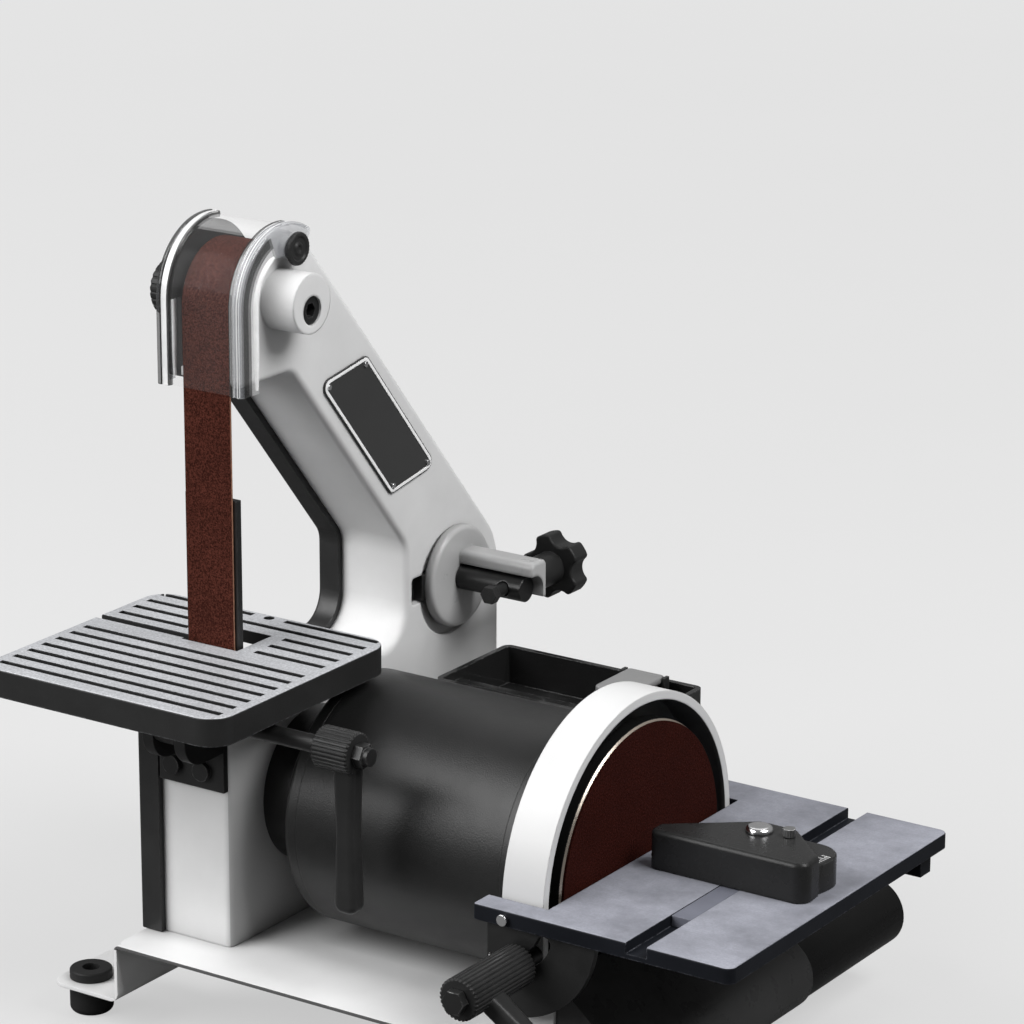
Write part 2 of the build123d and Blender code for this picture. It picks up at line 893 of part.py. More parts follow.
# Belt table bracket on the column, with the lock rod through its lugs
bracket_front = column_front - bracket_thick
bracket = block(bracket_left, bracket_right, bracket_front, column_front, bracket_low, column_top)
lug_front = hinge_y - bracket_lug_r
lug_points = [
    (bracket_front, bracket_lug_low),
    (lug_front, bracket_lug_low),
    (lug_front, hinge_z),
    (hinge_y + bracket_lug_r / 2, hinge_z + bracket_lug_r * math.sin(math.pi / 3)),
    (bracket_front, column_top),
]
lug_shape = make_face(FilletPolyline(*lug_points, radius=[0, bracket_lug_r, 0, 0, 0], close=True))
lug_shape = lug_shape + Pos(hinge_y, hinge_z) * Circle(bracket_lug_r)
left_lug = lug_left - slip_gap - bracket_lug_thick
right_lug = lug_right + slip_gap
for start in (left_lug, right_lug):
    bracket = bracket + slab_x(lug_shape, start, start + bracket_lug_thick)
bracket = bracket - rod_x(rod_r, left_lug, right_lug + bracket_lug_thick, hinge_y, hinge_z)
for x in (bracket_left + bracket_screw_left, lug_right - bracket_screw_right):
    inner_end = column_front + bracket_screw_reach
    shank = rod_y(arm_screw_r, bracket_front, inner_end, x, bracket_screw_z)
    cap = rod_y(arm_screw_head_r, bracket_front - arm_screw_head_len, bracket_front, x, bracket_screw_z)
    arm_screws.append(shank + cap)
    bracket = bracket - rod_y(arm_screw_r, bracket_front, column_front, x, bracket_screw_z)
    arm = arm - rod_y(arm_screw_r, column_front, inner_end, x, bracket_screw_z)
parts["belt_table_bracket"] = bracket
cover_screw = rod_x(arm_screw_r, cover_left, cover_inside + bracket_screw_reach, post_y, post_z)
cover_head = rod_x(arm_screw_head_r, cover_left - arm_screw_head_len, cover_left, post_y, post_z)
arm_screws.append(cover_screw + cover_head)
arm = arm - rod_x(arm_screw_r, cover_inside, cover_inside + bracket_screw_reach, post_y, post_z)
parts["arm_screws"] = Compound(arm_screws)

rod_right = right_lug + bracket_lug_thick + rod_knob_gap
knob_end = rod_right + knob_len
rod = rod_x(rod_r, left_lug - rod_left_over, knob_end + slip_gap + rod_nut_len + rod_tip, hinge_y, hinge_z)
nut = Pos(hinge_y, hinge_z) * hexagon(rod_nut_r)
left_nut = Pos(hinge_y, hinge_z) * hexagon(2 * rod_r)
rod = rod + slab_x(left_nut, left_lug - rod_nut_len, left_lug)
rod = rod + slab_x(nut, knob_end + slip_gap, knob_end + slip_gap + rod_nut_len)
parts["belt_table_lock_rod"] = rod
handle_place = Plane(origin=(rod_right, hinge_y, hinge_z), x_dir=(0, 0, -1), z_dir=(1, 0, 0))
parts["belt_table_lock_handle"] = handle_place * lock_handle(rod_r + run_fit, knob_len, lever_at, rod_nut_r)

# Belt table: ribbed plate with skirts, belt opening, removal slot and one lug under it
table_mid_x = (table_left + table_right) / 2
table_mid_y = (table_front + table_back) / 2
table_long = table_right - table_left
table_deep = table_back - table_front
top_face = Pos(table_mid_x, table_mid_y) * RectangleRounded(table_long, table_deep, table_corner)
table = slab_z(top_face, table_top - table_skirt, table_top)
table = fillet(table.faces().sort_by(Axis.Z)[-1].outer_wire().edges(), table_edge)
table_inner = offset(top_face, -table_wall, kind=Kind.ARC)
table = table - slab_z(table_inner, table_top - table_skirt, table_top - table_plate)
opening_left = platen_left - opening_clear
opening_right = platen_right + opening_clear
groove_left = table_left + groove_end
groove_right = table_right - groove_end


def groove(x0, x1, y):
    return block(x0, x1, y - groove_wide / 2, y + groove_wide / 2, table_top - groove_deep, table_top)


for row in range(groove_front_rows):
    table = table - groove(groove_left, groove_right, groove_first + row * groove_pitch)
for row in range(rear_short_rows):
    y = rear_first + row * rear_pitch
    table = table - groove(opening_right + opening_margin, groove_right, y)
    if row > 0:
        table = table - groove(groove_left, opening_left - opening_margin, y)
table = table - groove(groove_left, groove_right, rear_first + rear_short_rows * rear_pitch)
drain_y = rear_first + (rear_short_rows + 1) * rear_pitch
table = table - groove(groove_left, drain_x - drain_margin, drain_y)
table = table - groove(drain_x + drain_margin, groove_right, drain_y)
table = table - rod_z(drain_r, table_top - table_plate, table_top, drain_x, drain_y)
table = table - block(opening_left, opening_right, opening_front, opening_back, table_top - table_plate, table_top)
removal_low = rear_first - removal_wide / 2
removal_high = rear_first + removal_wide / 2
table = table - block(table_left, opening_left, removal_low, removal_high, table_top - table_skirt, table_top)
table_under = table_top - table_plate
table_lug = block(lug_left, lug_right, hinge_y - lug_r, hinge_y + lug_r, hinge_z, table_under)
table_lug = table_lug + rod_x(lug_r, lug_left, lug_right, hinge_y, hinge_z)
parts["belt_table"] = table + table_lug - rod_x(rod_r + run_fit, lug_left, lug_right, hinge_y, hinge_z)

# Side cover and its hand knob
cover_face = offset(arm_face(cover_head_r - cover_grow), cover_grow, kind=Kind.ARC)
cover = slab_x(cover_face, cover_left, arm_left)
cover = fillet(cover.faces().sort_by(Axis.X)[0].outer_wire().edges(), cover_edge)
cover_pocket = offset(cover_face, -cover_wall, kind=Kind.ARC)
cover = cover - slab_x(cover_pocket, cover_inside, arm_left)
lip_left = arm_left - cover_lip
lip = slab_x(outline_face, lip_left, arm_left)
lip = lip & block(lip_left, arm_left, column_front, slot_back, head_z, head_z + head_r)
cover = cover + (lip - slab_x(cover_pocket, lip_left, arm_left))
below = block(cover_left, arm_left, column_front - heel_r, slot_back + heel_r, foot_low, base_top + cover_foot_gap)
cover = cover - below
cover = cover - rod_x(cover_stud_r + bolt_clear, cover_left, cover_inside, idler_at.X, idler_at.Y)
parts["side_cover"] = cover - rod_x(arm_screw_r, cover_left, cover_inside, post_y, post_z)
cover_knob = extrude(fluted(cover_knob_r, cover_knob_flute_r, cover_knob_flutes), cover_knob_len)
cover_knob = chamfer(cover_knob.edges().group_by(Axis.Z)[-1], knob_edge)
cover_knob = cover_knob + Pos(0, 0, -(stud_right - stud_left) / 2) * Cylinder(cover_stud_r, stud_right - stud_left)
knob_place = Plane(origin=(stud_left, idler_at.X, idler_at.Y), x_dir=(0, 0, 1), z_dir=(-1, 0, 0))
parts["cover_knob"] = knob_place * cover_knob

# Tension slide: flange on the arm's face, channelled rail behind the axle, key through the slot
slide_left = arm_right + slip_gap
flange_right = slide_left + flange_thick
flange = rod_x(flange_r, slide_left, flange_right, track_at.X, track_at.Y)
flange = fillet(flange.edges().filter_by(GeomType.CIRCLE).sort_by(Axis.X)[-1], flange_edge)
rail_right = flange_right + rail_len
rail = block(
    flange_right,
    rail_right,
    track_at.X - rail_front,
    track_at.X + rail_back,
    track_at.Y - rail_low,
    track_at.Y + rail_top,
)
rail = fillet(rail.edges().filter_by(Axis.X).group_by(Axis.Z)[-1], rail_round)
rail = fillet(rail.edges().group_by(Axis.X)[-1].group_by(Axis.Z)[-1], rail_round / 2)
channel = rod_x(channel_r, flange_right, rail_right, track_at.X, track_at.Y)
channel = channel + block(
    flange_right,
    rail_right,
    track_at.X - rail_front,
    track_at.X,
    track_at.Y - rail_low,
    track_at.Y + channel_r,
)
under = block(
    flange_right,
    rail_right,
    track_at.X,
    track_at.X + channel_r,
    track_at.Y - rail_low,
    track_at.Y,
)
rail = rail - channel - under
axle_hole_r = track_axle_r + tilt_room
key_left = arm_inside - slip_gap - keeper_thick
key_right = slide_left
key_low = track_z - slot_half + key_fit
key_high = track_z + slot_half - key_fit
key = block(arm_inside - slip_gap, key_right, track_at.X - key_front, track_at.X + key_back, key_low, key_high)
keeper_y0 = track_at.X - key_front - keeper_front
keeper_y1 = track_at.X + keeper_back
keeper = block(key_left, key_left + keeper_thick, keeper_y0, keeper_y1, track_z - keeper_half_z, track_z + keeper_half_z)
lug_face_y = track_at.X + spring_lug_y
spring_z = track_z + spring_lift
keeper_top = spring_z + spring_lug_half
keeper = keeper + block(key_left, key_left + keeper_thick, keeper_y0 + keeper_front, lug_face_y, track_z, keeper_top)
spring_x = key_left - spring_x_in
lug_left_x = spring_x - spring_lug_half
lug_front_y = lug_face_y - spring_lug_thick
keeper = keeper + block(lug_left_x, key_left, lug_front_y, lug_face_y, spring_z - spring_lug_half, keeper_top)
key = key + keeper
screw_x = slide_left + track_screw_x
pin_x = slide_left + pivot_x
screw_tip = track_at.X - track_screw_front
star_neck = track_at.X + rail_back + slip_gap
rail_bore = rod_y(track_screw_r + run_fit, track_at.X, star_neck, screw_x, track_z)
bracket_hole = rod_x(axle_hole_r, key_left, flange_right, track_at.X, track_at.Y)
pin_hole = rod_z(pivot_pin_r, track_z - pivot_pin_half, track_z + pivot_pin_half, pin_x, track_at.X)
parts["tension_bracket"] = flange + rail - rail_bore - bracket_hole - pin_hole
parts["tension_key"] = key - bracket_hole
parts["axle_pivot_pin"] = pin_hole
grip_left = flange_right + tilt_room
track_axle = rod_x(track_axle_r, wheel_left - roller_bearing_inset, grip_left, track_at.X, track_at.Y)
track_axle = track_axle + rod_x(axle_grip_r, grip_left, slide_left + track_axle_right, track_at.X, track_at.Y)
axle_pin_hole = rod_z(pivot_pin_r + run_fit, track_z - pivot_pin_half, track_z + pivot_pin_half, pin_x, track_at.X)
cross = rod_y(track_screw_r + cross_room, track_at.X - rail_back, track_at.X + rail_back, screw_x, track_z)
parts["tracking_axle"] = track_axle - axle_pin_hole - cross

# Star knob moulded on the tracking screw, with the stop nut at the screw's tip
star_front = track_at.X + rail_back + star_gap
star = Circle(star_r) - PolarLocations(star_dent_ring, star_lobes) * Circle(star_dent_r)
star = fillet(star.vertices(), star_edge)
star_body = extrude(star, star_len)
star_body = fillet(star_body.edges().group_by(Axis.Z)[0], star_edge / 2)
star_body = fillet(star_body.edges().group_by(Axis.Z)[-1], star_edge / 2)
star_body = Plane(origin=(screw_x, star_front, track_z), x_dir=(1, 0, 0), z_dir=(0, 1, 0)) * star_body
screw = rod_y(track_screw_r, screw_tip, star_front, screw_x, track_z)
screw = screw + rod_y(star_hub_r, star_neck, star_front, screw_x, track_z)
stop_nut = Pos(screw_x, track_z) * hexagon(track_nut_r)
screw = screw + slab_y(stop_nut, screw_tip, screw_tip + track_nut_len)
parts["tracking_knob"] = star_body + screw

# Tension spring between a boss inside the arm and the keeper's lug
wall_run = math.hypot(throat_back - neck_y, head_under - throat_corner_z)
rim_step = arm_rim * wall_run / (head_under - throat_corner_z)
spring_over = max(spring_z - throat_corner_z, 0)
wall_y = throat_back - spring_over * (throat_back - neck_y) / (head_under - throat_corner_z)
spring_seat = wall_y + rim_step + spring_boss_r
arm = arm + rod_y(spring_boss_r, wall_y + rim_step / 2, spring_seat, spring_x, spring_z)
spring_start = spring_seat + spring_wire_r
spring_len = lug_front_y - spring_wire_r - spring_start
spring_path = Helix(spring_len / spring_turns, spring_len, spring_r)
wire_plane = Plane(origin=spring_path @ 0, z_dir=spring_path % 0)
spring = sweep(wire_plane * Circle(spring_wire_r), path=spring_path)
spring_place = Plane(origin=(spring_x, spring_start, spring_z), x_dir=(1, 0, 0), z_dir=(0, 1, 0))
parts["tension_spring"] = spring_place * spring

# Eye shield: stepped clear hood over the top wheel, on a pivot at the arm's face
shield_left = wheel_left - wheel_over - shield_left_over - belt_gap_right
shield_r = head_r + shield_gap


def shield_face(r_in, r_out, back):
    """Section of the hood: upright front, round top and straight back, in (Y, Z)."""
    y = head_at.X
    z = head_at.Y
    bow = math.sqrt(0.5)
    outer = [
        Line((back, z + r_out), (y, z + r_out)),
        ThreePointArc((y, z + r_out), (y - r_out * bow, z + r_out * bow), (y - r_out, z)),
        Line((y - r_out, z), (y - r_out, shield_bottom)),
        Line((y - r_out, shield_bottom), (y - r_in, shield_bottom)),
        Line((y - r_in, shield_bottom), (y - r_in, z)),
        ThreePointArc((y - r_in, z), (y - r_in * bow, z + r_in * bow), (y, z + r_in)),
    ]
    if back > y:
        outer.append(Line((y, z + r_in), (back, z + r_in)))
        outer.append(Line((back, z + r_in), (back, z + r_out)))
    return outer


def shield_slab(r_in, r_out, back, x0, x1):
    return slab_x(make_face(Wire(shield_face(r_in, r_out, back))), x0, x1)


band_r = shield_r + band_rise
top_edge = head_at.X + slip_gap
shield_out = band_r + shield_thick
rim_in = shield_out - flange_deep
band_left = shield_left + band_width
band_right = shield_right - band_width
shield = shield_slab(shield_r, band_r, shield_back, band_left - shield_thick, band_right + shield_thick)
shield = shield + shield_slab(band_r, shield_out, shield_back, shield_left, band_left)
shield = shield + shield_slab(band_r, shield_out, top_edge, band_right, shield_right)
shield = shield + shield_slab(rim_in, shield_out, top_edge, shield_left, shield_left + shield_thick)
shield = shield + shield_slab(rim_in, shield_out, top_edge, shield_right - shield_thick, shield_right)
tab_left = shield_right - shield_thick
tab = rod_x(shield_out, tab_left, shield_right, head_at.X, head_at.Y)
tab = tab - rod_x(shield_tab_r, tab_left, shield_right, head_at.X, head_at.Y)
tab = tab - rod_x(shield_stud_r + tap_clear, tab_left, shield_right, shield_pivot_y, shield_pivot_z)
rear_left = arm_right + slip_gap
rear_band = rod_x(shield_out, rear_left, shield_right, head_at.X, head_at.Y)
rear_band = rear_band - rod_x(band_r, rear_left, shield_right, head_at.X, head_at.Y)
tab_room = block(rear_left, shield_right, head_at.X, shield_tab_back, shield_tab_low, head_at.Y + shield_out)
shield = shield + ((tab + rear_band) & tab_room)
parts["eye_shield"] = shield
shield_knob = extrude(fluted(shield_knob_r, shield_knob_flute_r, shield_knob_flutes), shield_knob_len)
shield_knob = chamfer(shield_knob.edges().group_by(Axis.Z)[-1], knob_edge / 4)
knob_seat = shield_right + slip_gap
shield_knob = Plane(origin=(knob_seat, shield_pivot_y, shield_pivot_z), x_dir=(0, 0, 1), z_dir=(1, 0, 0)) * shield_knob
stud = rod_x(shield_stud_r, knob_seat - shield_stud_reach, knob_seat, shield_pivot_y, shield_pivot_z)
parts["shield_knob"] = shield_knob + stud

# Blank name plate on the arm, with its rivets
plate_at = Vector(plate_y, plate_z)
half_long = on_circle(Vector(0, 0), plate_long / 2, math.radians(plate_lean))
half_end = on_circle(Vector(0, 0), plate_end / 2, math.radians(plate_end_lean))
rivet_step = rivet_in / math.sin(math.radians(plate_end_lean - plate_lean))
corners = []
spots = []
for along, across in ((1, 1), (1, -1), (-1, -1), (-1, 1)):
    corner = plate_at + half_long * along + half_end * across
    corners.append(corner)
    spots.append(corner - (half_long.normalized() * along + half_end.normalized() * across) * rivet_step)
plate_face = make_face(FilletPolyline(*corners, radius=plate_corner, close=True))
name_plate = slab_x(plate_face, arm_right, arm_right + plate_thick)
rivets = []
for spot in spots:
    body = rod_x(rivet_r, arm_right - rivet_deep, arm_right + plate_thick + rivet_proud, spot.X, spot.Y)
    rivets.append(body)
    name_plate = name_plate - body
    arm = arm - body
parts["name_plate"] = name_plate
parts["name_plate_rivets"] = Compound(rivets)

# Switch box behind the motor, open at the top over a sunk floor
recess_floor = box_top - recess_deep
box_mid_x = (box_left + box_right) / 2
box_mid_y = (box_front + box_back) / 2
box_long = box_right - box_left
box_wide = box_back - box_front
box_plan = Pos(box_mid_x, box_mid_y) * RectangleRounded(box_long, box_wide, box_corner)
inner_plan = offset(box_plan, -box_wall, kind=Kind.ARC)
tray_mid_y = (tray_front + box_back) / 2
tray_wide = box_back - tray_front
tray_plan = Pos(box_mid_x, tray_mid_y) * RectangleRounded(box_long, tray_wide, box_corner)
tray_inner = offset(tray_plan, -box_wall, kind=Kind.ARC)
box = slab_z(box_plan, base_top, box_top) + slab_z(tray_plan, tray_low, box_top)
box = box - slab_z(inner_plan, base_top + box_wall, recess_floor - box_wall)
box = box - slab_z(inner_plan, recess_floor, box_top)
box = box - slab_z(tray_inner, tray_low + box_wall, box_top)
body_back = switch_body_front + switch_body_wide
body_left = switch_x - switch_body_long / 2
body_right = switch_x + switch_body_long / 2
cutout = block(
    body_left - switch_fit,
    body_right + switch_fit,
    switch_body_front - switch_fit,
    body_back + switch_fit,
    recess_floor - box_wall,
    recess_floor,
)
box = box - cutout
box = box - rod_y(gland_r, box_back - box_wall, box_back, gland_x, gland_z)
switch = block(body_left, body_right, switch_body_front, body_back, switch_body_low, switch_body_top)
switch_flange = block(
    body_left - switch_flange_over,
    body_right + switch_flange_over,
    paddle_front,
    paddle_back + slip_gap,
    recess_floor,
    recess_floor + switch_flange_thick,
)
switch = switch + switch_flange
paddle_left = switch_x - paddle_long / 2
paddle_right = switch_x + paddle_long / 2
pin_z = paddle_low + paddle_thick / 2
for start in (paddle_left - slip_gap - ear_thick, paddle_right + slip_gap):
    ear_front = paddle_pin_y - ear_wide / 2
    switch = switch + block(start, start + ear_thick, ear_front, ear_front + ear_wide, recess_floor, ear_top)
ear_reach = paddle_long / 2 + slip_gap + ear_thick
switch = switch + rod_x(paddle_pin_r, switch_x - ear_reach, switch_x + ear_reach, paddle_pin_y, pin_z)
parts["switch_body"] = switch
paddle = block(paddle_left, paddle_right, paddle_front, paddle_back, paddle_low, paddle_low + paddle_thick)
paddle = fillet(paddle.edges().filter_by(Axis.Z), 2 * knob_edge)
paddle = fillet(paddle.edges().group_by(Axis.Z)[-1], knob_edge)
paddle_pin_hole = rod_x(paddle_pin_r + run_fit, paddle_left, paddle_right, paddle_pin_y, pin_z)
parts["switch_paddle"] = paddle - paddle_pin_hole
floor_top = base_top + box_wall
capacitor_z = floor_top + capacitor_r
capacitor = rod_x(capacitor_r, capacitor_right - capacitor_len, capacitor_right, box_mid_y, capacitor_z)
parts["run_capacitor"] = capacitor
gland = rod_y(gland_r, box_back - box_wall, box_back, gland_x, gland_z)
gland = gland + rod_y(gland_flange_r, box_back, box_back + gland_flange_len, gland_x, gland_z)
gland = gland + rod_y(gland_r, box_back + gland_flange_len, box_back + gland_len, gland_x, gland_z)
parts["cable_gland"] = gland - rod_y(gland_hole_r, box_back - box_wall, box_back + gland_len, gland_x, gland_z)

# Disc table with mitre slot, notched round the disc guard
disc_table_low = disc_table_top - disc_table_thick
dt_corners = [
    (disc_table_left, disc_table_front),
    (disc_table_right, disc_table_front),
    (disc_table_right, disc_table_back),
    (disc_table_left, disc_table_back),
]
dt_radii = [disc_table_tip, disc_table_corner, disc_table_corner, disc_table_tip]
dt_plan = make_face(FilletPolyline(*dt_corners, radius=dt_radii, close=True))
disc_table = slab_z(dt_plan, disc_table_low, disc_table_top)
disc_table = fillet(disc_table.faces().sort_by(Axis.Z)[-1].outer_wire().edges(), table_edge)
notch = polygon(
    (disc_table_left - disc_table_gap, disc_table_top),
    (disc_table_gap, disc_table_top),
    (disc_table_gap + disc_table_thick, disc_table_low),
    (disc_table_left - disc_table_gap, disc_table_low),
)
disc_table = disc_table - slab_y(notch, -strip_inside, strip_inside)
slot_x0 = mitre_slot_x - mitre_slot_wide / 2
slot_x1 = mitre_slot_x + mitre_slot_wide / 2
slot_floor = disc_table_top - mitre_slot_deep
disc_table = disc_table - block(slot_x0, slot_x1, disc_table_front, disc_table_back, slot_floor, disc_table_top)
half_lug = lug_size / 2
disc_table = disc_table + block(
    lug_x - half_lug, lug_x + half_lug, lug_y - half_lug, lug_y + half_lug, lug_low, disc_table_low
)
pivot_bore = rod_y(pivot_r + run_fit, disc_table_front, disc_table_back, pivot_y, pivot_z)
parts["disc_table"] = disc_table - pivot_bore
pivots = []
for ends in ((disc_table_front - slip_gap, guard_wall - guard_r), (guard_r - guard_wall, disc_table_back + slip_gap)):
    pivots.append(rod_y(pivot_r, ends[0], ends[1], pivot_y, pivot_z))
    guard = guard - pivots[-1]
outer_front = disc_table_front - slip_gap
outer_back = disc_table_back + slip_gap
pivots[0] = pivots[0] + rod_y(pivot_head_r, outer_front - pivot_head_len, outer_front, pivot_y, pivot_z)
pivots[1] = pivots[1] + rod_y(pivot_head_r, outer_back, outer_back + pivot_head_len, pivot_y, pivot_z)
parts["disc_table_pivot_screws"] = Compound(pivots)

# Quadrant under the table's front edge, with the arc slot for the lock stud
quadrant_front = quadrant_back - quadrant_thick
quadrant = rod_y(quadrant_r, quadrant_front, quadrant_back, pivot_y, pivot_z)
keep = block(
    quadrant_left, pivot_y + quadrant_r, quadrant_front, quadrant_back, pivot_z - quadrant_r, disc_table_low
)
quadrant = quadrant & keep
arc_slot = rod_y(stud_ring + stud_slot_half, quadrant_front, quadrant_back, pivot_y, pivot_z)
arc_slot = arc_slot - rod_y(stud_ring - stud_slot_half, quadrant_front, quadrant_back, pivot_y, pivot_z)
reach = 3 * stud_ring
wedge = polygon(
    (pivot_y, pivot_z),
    (pivot_y + reach * math.cos(math.radians(stud_angle)), pivot_z + reach * math.sin(math.radians(stud_angle))),
    (
        pivot_y + reach * math.cos(math.radians(stud_angle + tilt_most)),
        pivot_z + reach * math.sin(math.radians(stud_angle + tilt_most)),
    ),
)
quadrant = quadrant - (arc_slot & slab_y(wedge, quadrant_front, quadrant_back))
for angle in (stud_angle, stud_angle + tilt_most):
    x = pivot_y + stud_ring * math.cos(math.radians(angle))
    z = pivot_z + stud_ring * math.sin(math.radians(angle))
    quadrant = quadrant - rod_y(stud_slot_half, quadrant_front, quadrant_back, x, z)
parts["disc_table_quadrant"] = quadrant
stud_x = pivot_y + stud_ring * math.cos(math.radians(stud_angle))
stud_z = pivot_z + stud_ring * math.sin(math.radians(stud_angle))
knob_low_y = disc_knob_start - long_knob_len
stud = rod_y(stud_r, knob_low_y - slip_gap - stud_end_nut, guard_wall - guard_r, stud_x, stud_z)
guard = guard - rod_y(stud_r, -guard_r, guard_wall - guard_r, stud_x, stud_z)
stud = stud + rod_y(stud_boss_r, quadrant_back + slip_gap, -guard_r, stud_x, stud_z)
stud = stud + rod_y(stud_boss_r, disc_knob_start + slip_gap, quadrant_front - slip_gap, stud_x, stud_z)
stud_nut = Pos(stud_x, stud_z) * hexagon(stud_nut_r)
stud = stud + slab_y(stud_nut, knob_low_y - slip_gap - stud_end_nut, knob_low_y - slip_gap)
parts["disc_table_lock_stud"] = stud
lean = math.radians(lever_two_lean)
stud_place = Plane(
    origin=(stud_x, disc_knob_start, stud_z), x_dir=(math.cos(lean), 0, math.sin(lean)), z_dir=(0, -1, 0)
)
parts["disc_table_lock_handle"] = stud_place * lock_handle(stud_r + run_fit, long_knob_len, long_lever_at, stud_nut_r)
pointer_shape = polygon(
    (pointer_x - pointer_wide / 2, pointer_z - pointer_high / 2),
    (pointer_x + pointer_wide / 2, pointer_z - pointer_high / 2),
    (pointer_x, pointer_z + pointer_high / 2),
)
pointer_back = quadrant_front
parts["tilt_pointer"] = slab_y(pointer_shape, pointer_back - pointer_thick, pointer_back)
parts["disc_guard"] = guard

# Mitre gauge
bar_left = slot_x0 + bar_side_gap
bar_right = slot_x1 - bar_side_gap
bar = block(bar_left, bar_right, bar_front, bar_back, slot_floor + bar_low_gap, disc_table_top - bar_top_gap)
head_low = disc_table_top + head_gap
head_top = head_low + head_high
head_back = head_face + head_face_thick
head_corners = [
    (head_left, head_face),
    (head_right, head_face),
    (mitre_slot_x + protractor_r * math.cos(math.radians(protractor_from)), head_back),
    (mitre_slot_x + head_hub_r, mitre_pivot_y + head_hub_r),
    (mitre_slot_x - head_hub_r / 2, mitre_pivot_y + head_hub_r),
    (head_left, head_face + protractor_deep),
]
head_radii = [
    head_corner_near,
    head_corner_end,
    head_corner_near,
    head_corner_end,
    head_corner_end,
    head_corner_near,
]
head_plan = make_face(FilletPolyline(*head_corners, radius=head_radii, close=True))
head_body = slab_z(head_plan, head_low, head_top)
head_body = fillet(head_body.faces().sort_by(Axis.Z)[-1].outer_wire().edges(), head_top_round)
arc_right = mitre_slot_x + protractor_r
arc_front = head_face + head_edge
arc_back = mitre_pivot_y + head_hub_r
arc_keep = polygon((mitre_slot_x, arc_front), (arc_right, arc_front), (arc_right, arc_back), (mitre_slot_x, arc_back))
arc_plan = Pos(mitre_slot_x, mitre_pivot_y) * Circle(protractor_r) & arc_keep
arc_plan = fillet(arc_plan.vertices().group_by(Axis.Y)[-1].sort_by(Axis.X)[-1], protractor_nose)
arc_plate = slab_z(arc_plan, head_low, head_low + protractor_high)
arc_plate = chamfer(arc_plate.faces().sort_by(Axis.Z)[-1].outer_wire().edges(), head_edge)
head_body = head_body + arc_plate
head_body = head_body - rod_z(mitre_screw_r + run_fit, head_low, head_top, mitre_slot_x, mitre_pivot_y)
lock_hole = rod_z(mitre_lock_stud + run_fit, head_low, head_top, mitre_lock_x, mitre_lock_y)
parts["mitre_head"] = head_body - lock_hole
pivot_foot = slot_floor + mitre_slot_deep / 2
pivot_screw = rod_z(mitre_screw_r, pivot_foot, head_top + slip_gap, mitre_slot_x, mitre_pivot_y)
dome = rod_z(mitre_dome_r, head_top + slip_gap, head_top + slip_gap + mitre_dome_len, mitre_slot_x, mitre_pivot_y)
dome = fillet(dome.edges().filter_by(GeomType.CIRCLE).sort_by(Axis.Z)[-1], mitre_dome_len - slip_gap)
parts["mitre_pivot_screw"] = pivot_screw + dome
bar_hole = rod_z(mitre_screw_r, pivot_foot, disc_table_top, mitre_slot_x, mitre_pivot_y)
parts["mitre_bar"] = bar - bar_hole
lock_head = extrude(fluted(mitre_lock_r, knob_edge / 4, mitre_lock_flutes), mitre_lock_len)
lock_screw = Pos(mitre_lock_x, mitre_lock_y, head_top + slip_gap) * lock_head
lock_stem = rod_z(mitre_lock_stud, head_low, head_top + slip_gap, mitre_lock_x, mitre_lock_y)
parts["mitre_lock_screw"] = lock_screw + lock_stem

# Base plate of bent sheet with four out-turned feet, and its bolts
base_low = base_top - base_thick
base_plan = block(base_left, base_right, base_front, base_back, base_low, base_top)
base = fillet(base_plan.edges().filter_by(Axis.Z), base_corner)


def leg(x, outwards, tab_len, y0):
    """One leg: down from the plate's end, then out to the foot; outwards is +1 or -1."""
    inner = x - outwards * base_thick
    end = x + outwards * tab_len
    section = [
        (inner - outwards * base_corner, base_top),
        (x, base_top),
        (x, tab_top),
        (end, tab_top),
        (end, tab_low),
        (inner, tab_low),
        (inner, base_low),
        (inner - outwards * base_corner, base_low),
    ]
    body = slab_y(polygon(*section), y0, y0 + leg_wide)
    bends = body.edges().filter_by(Axis.Y).filter_by_position(Axis.X, min(x, inner) - slip_gap, max(x, inner) + slip_gap)
    body = fillet(bends.sort_by(Axis.Z)[0], bend_r + base_thick)
    bends = body.edges().filter_by(Axis.Y).filter_by_position(Axis.X, min(x, inner) - slip_gap, max(x, inner) + slip_gap)
    body = fillet(bends.sort_by(Axis.Z)[-1], bend_r)
    ends = body.edges().filter_by(Axis.Z).group_by(Axis.X)[-1 if outwards > 0 else 0]
    return fillet(ends, tab_corner)


feet = []
for x, outwards, tab_len, foot_x in (
    (base_left, -1, tab_left_len, foot_x_left),
    (base_right, 1, tab_right_len, foot_x_right),
):
    for y0, foot_y in ((base_front, foot_y_front), (base_back - leg_wide, foot_y_back)):
        base = base + leg(x, outwards, tab_len, y0)
        base = base - rod_z(foot_neck_r, tab_low, tab_top, foot_x, foot_y)
        foot = rod_z(foot_r, foot_low, tab_low, foot_x, foot_y)
        foot = fillet(foot.edges().filter_by(GeomType.CIRCLE).sort_by(Axis.Z)[0], bend_r)
        foot = foot + rod_z(foot_neck_r, tab_low, tab_top, foot_x, foot_y)
        ring = rod_z(foot_ring_r, tab_top, tab_top + foot_ring_rise, foot_x, foot_y)
        foot = foot + fillet(ring.edges().filter_by(GeomType.CIRCLE).sort_by(Axis.Z)[-1], foot_ring_rise / 4)
        feet.append(foot - rod_z(foot_hole_r, foot_low, tab_top + foot_ring_rise, foot_x, foot_y))
parts["rubber_feet"] = Compound(feet)

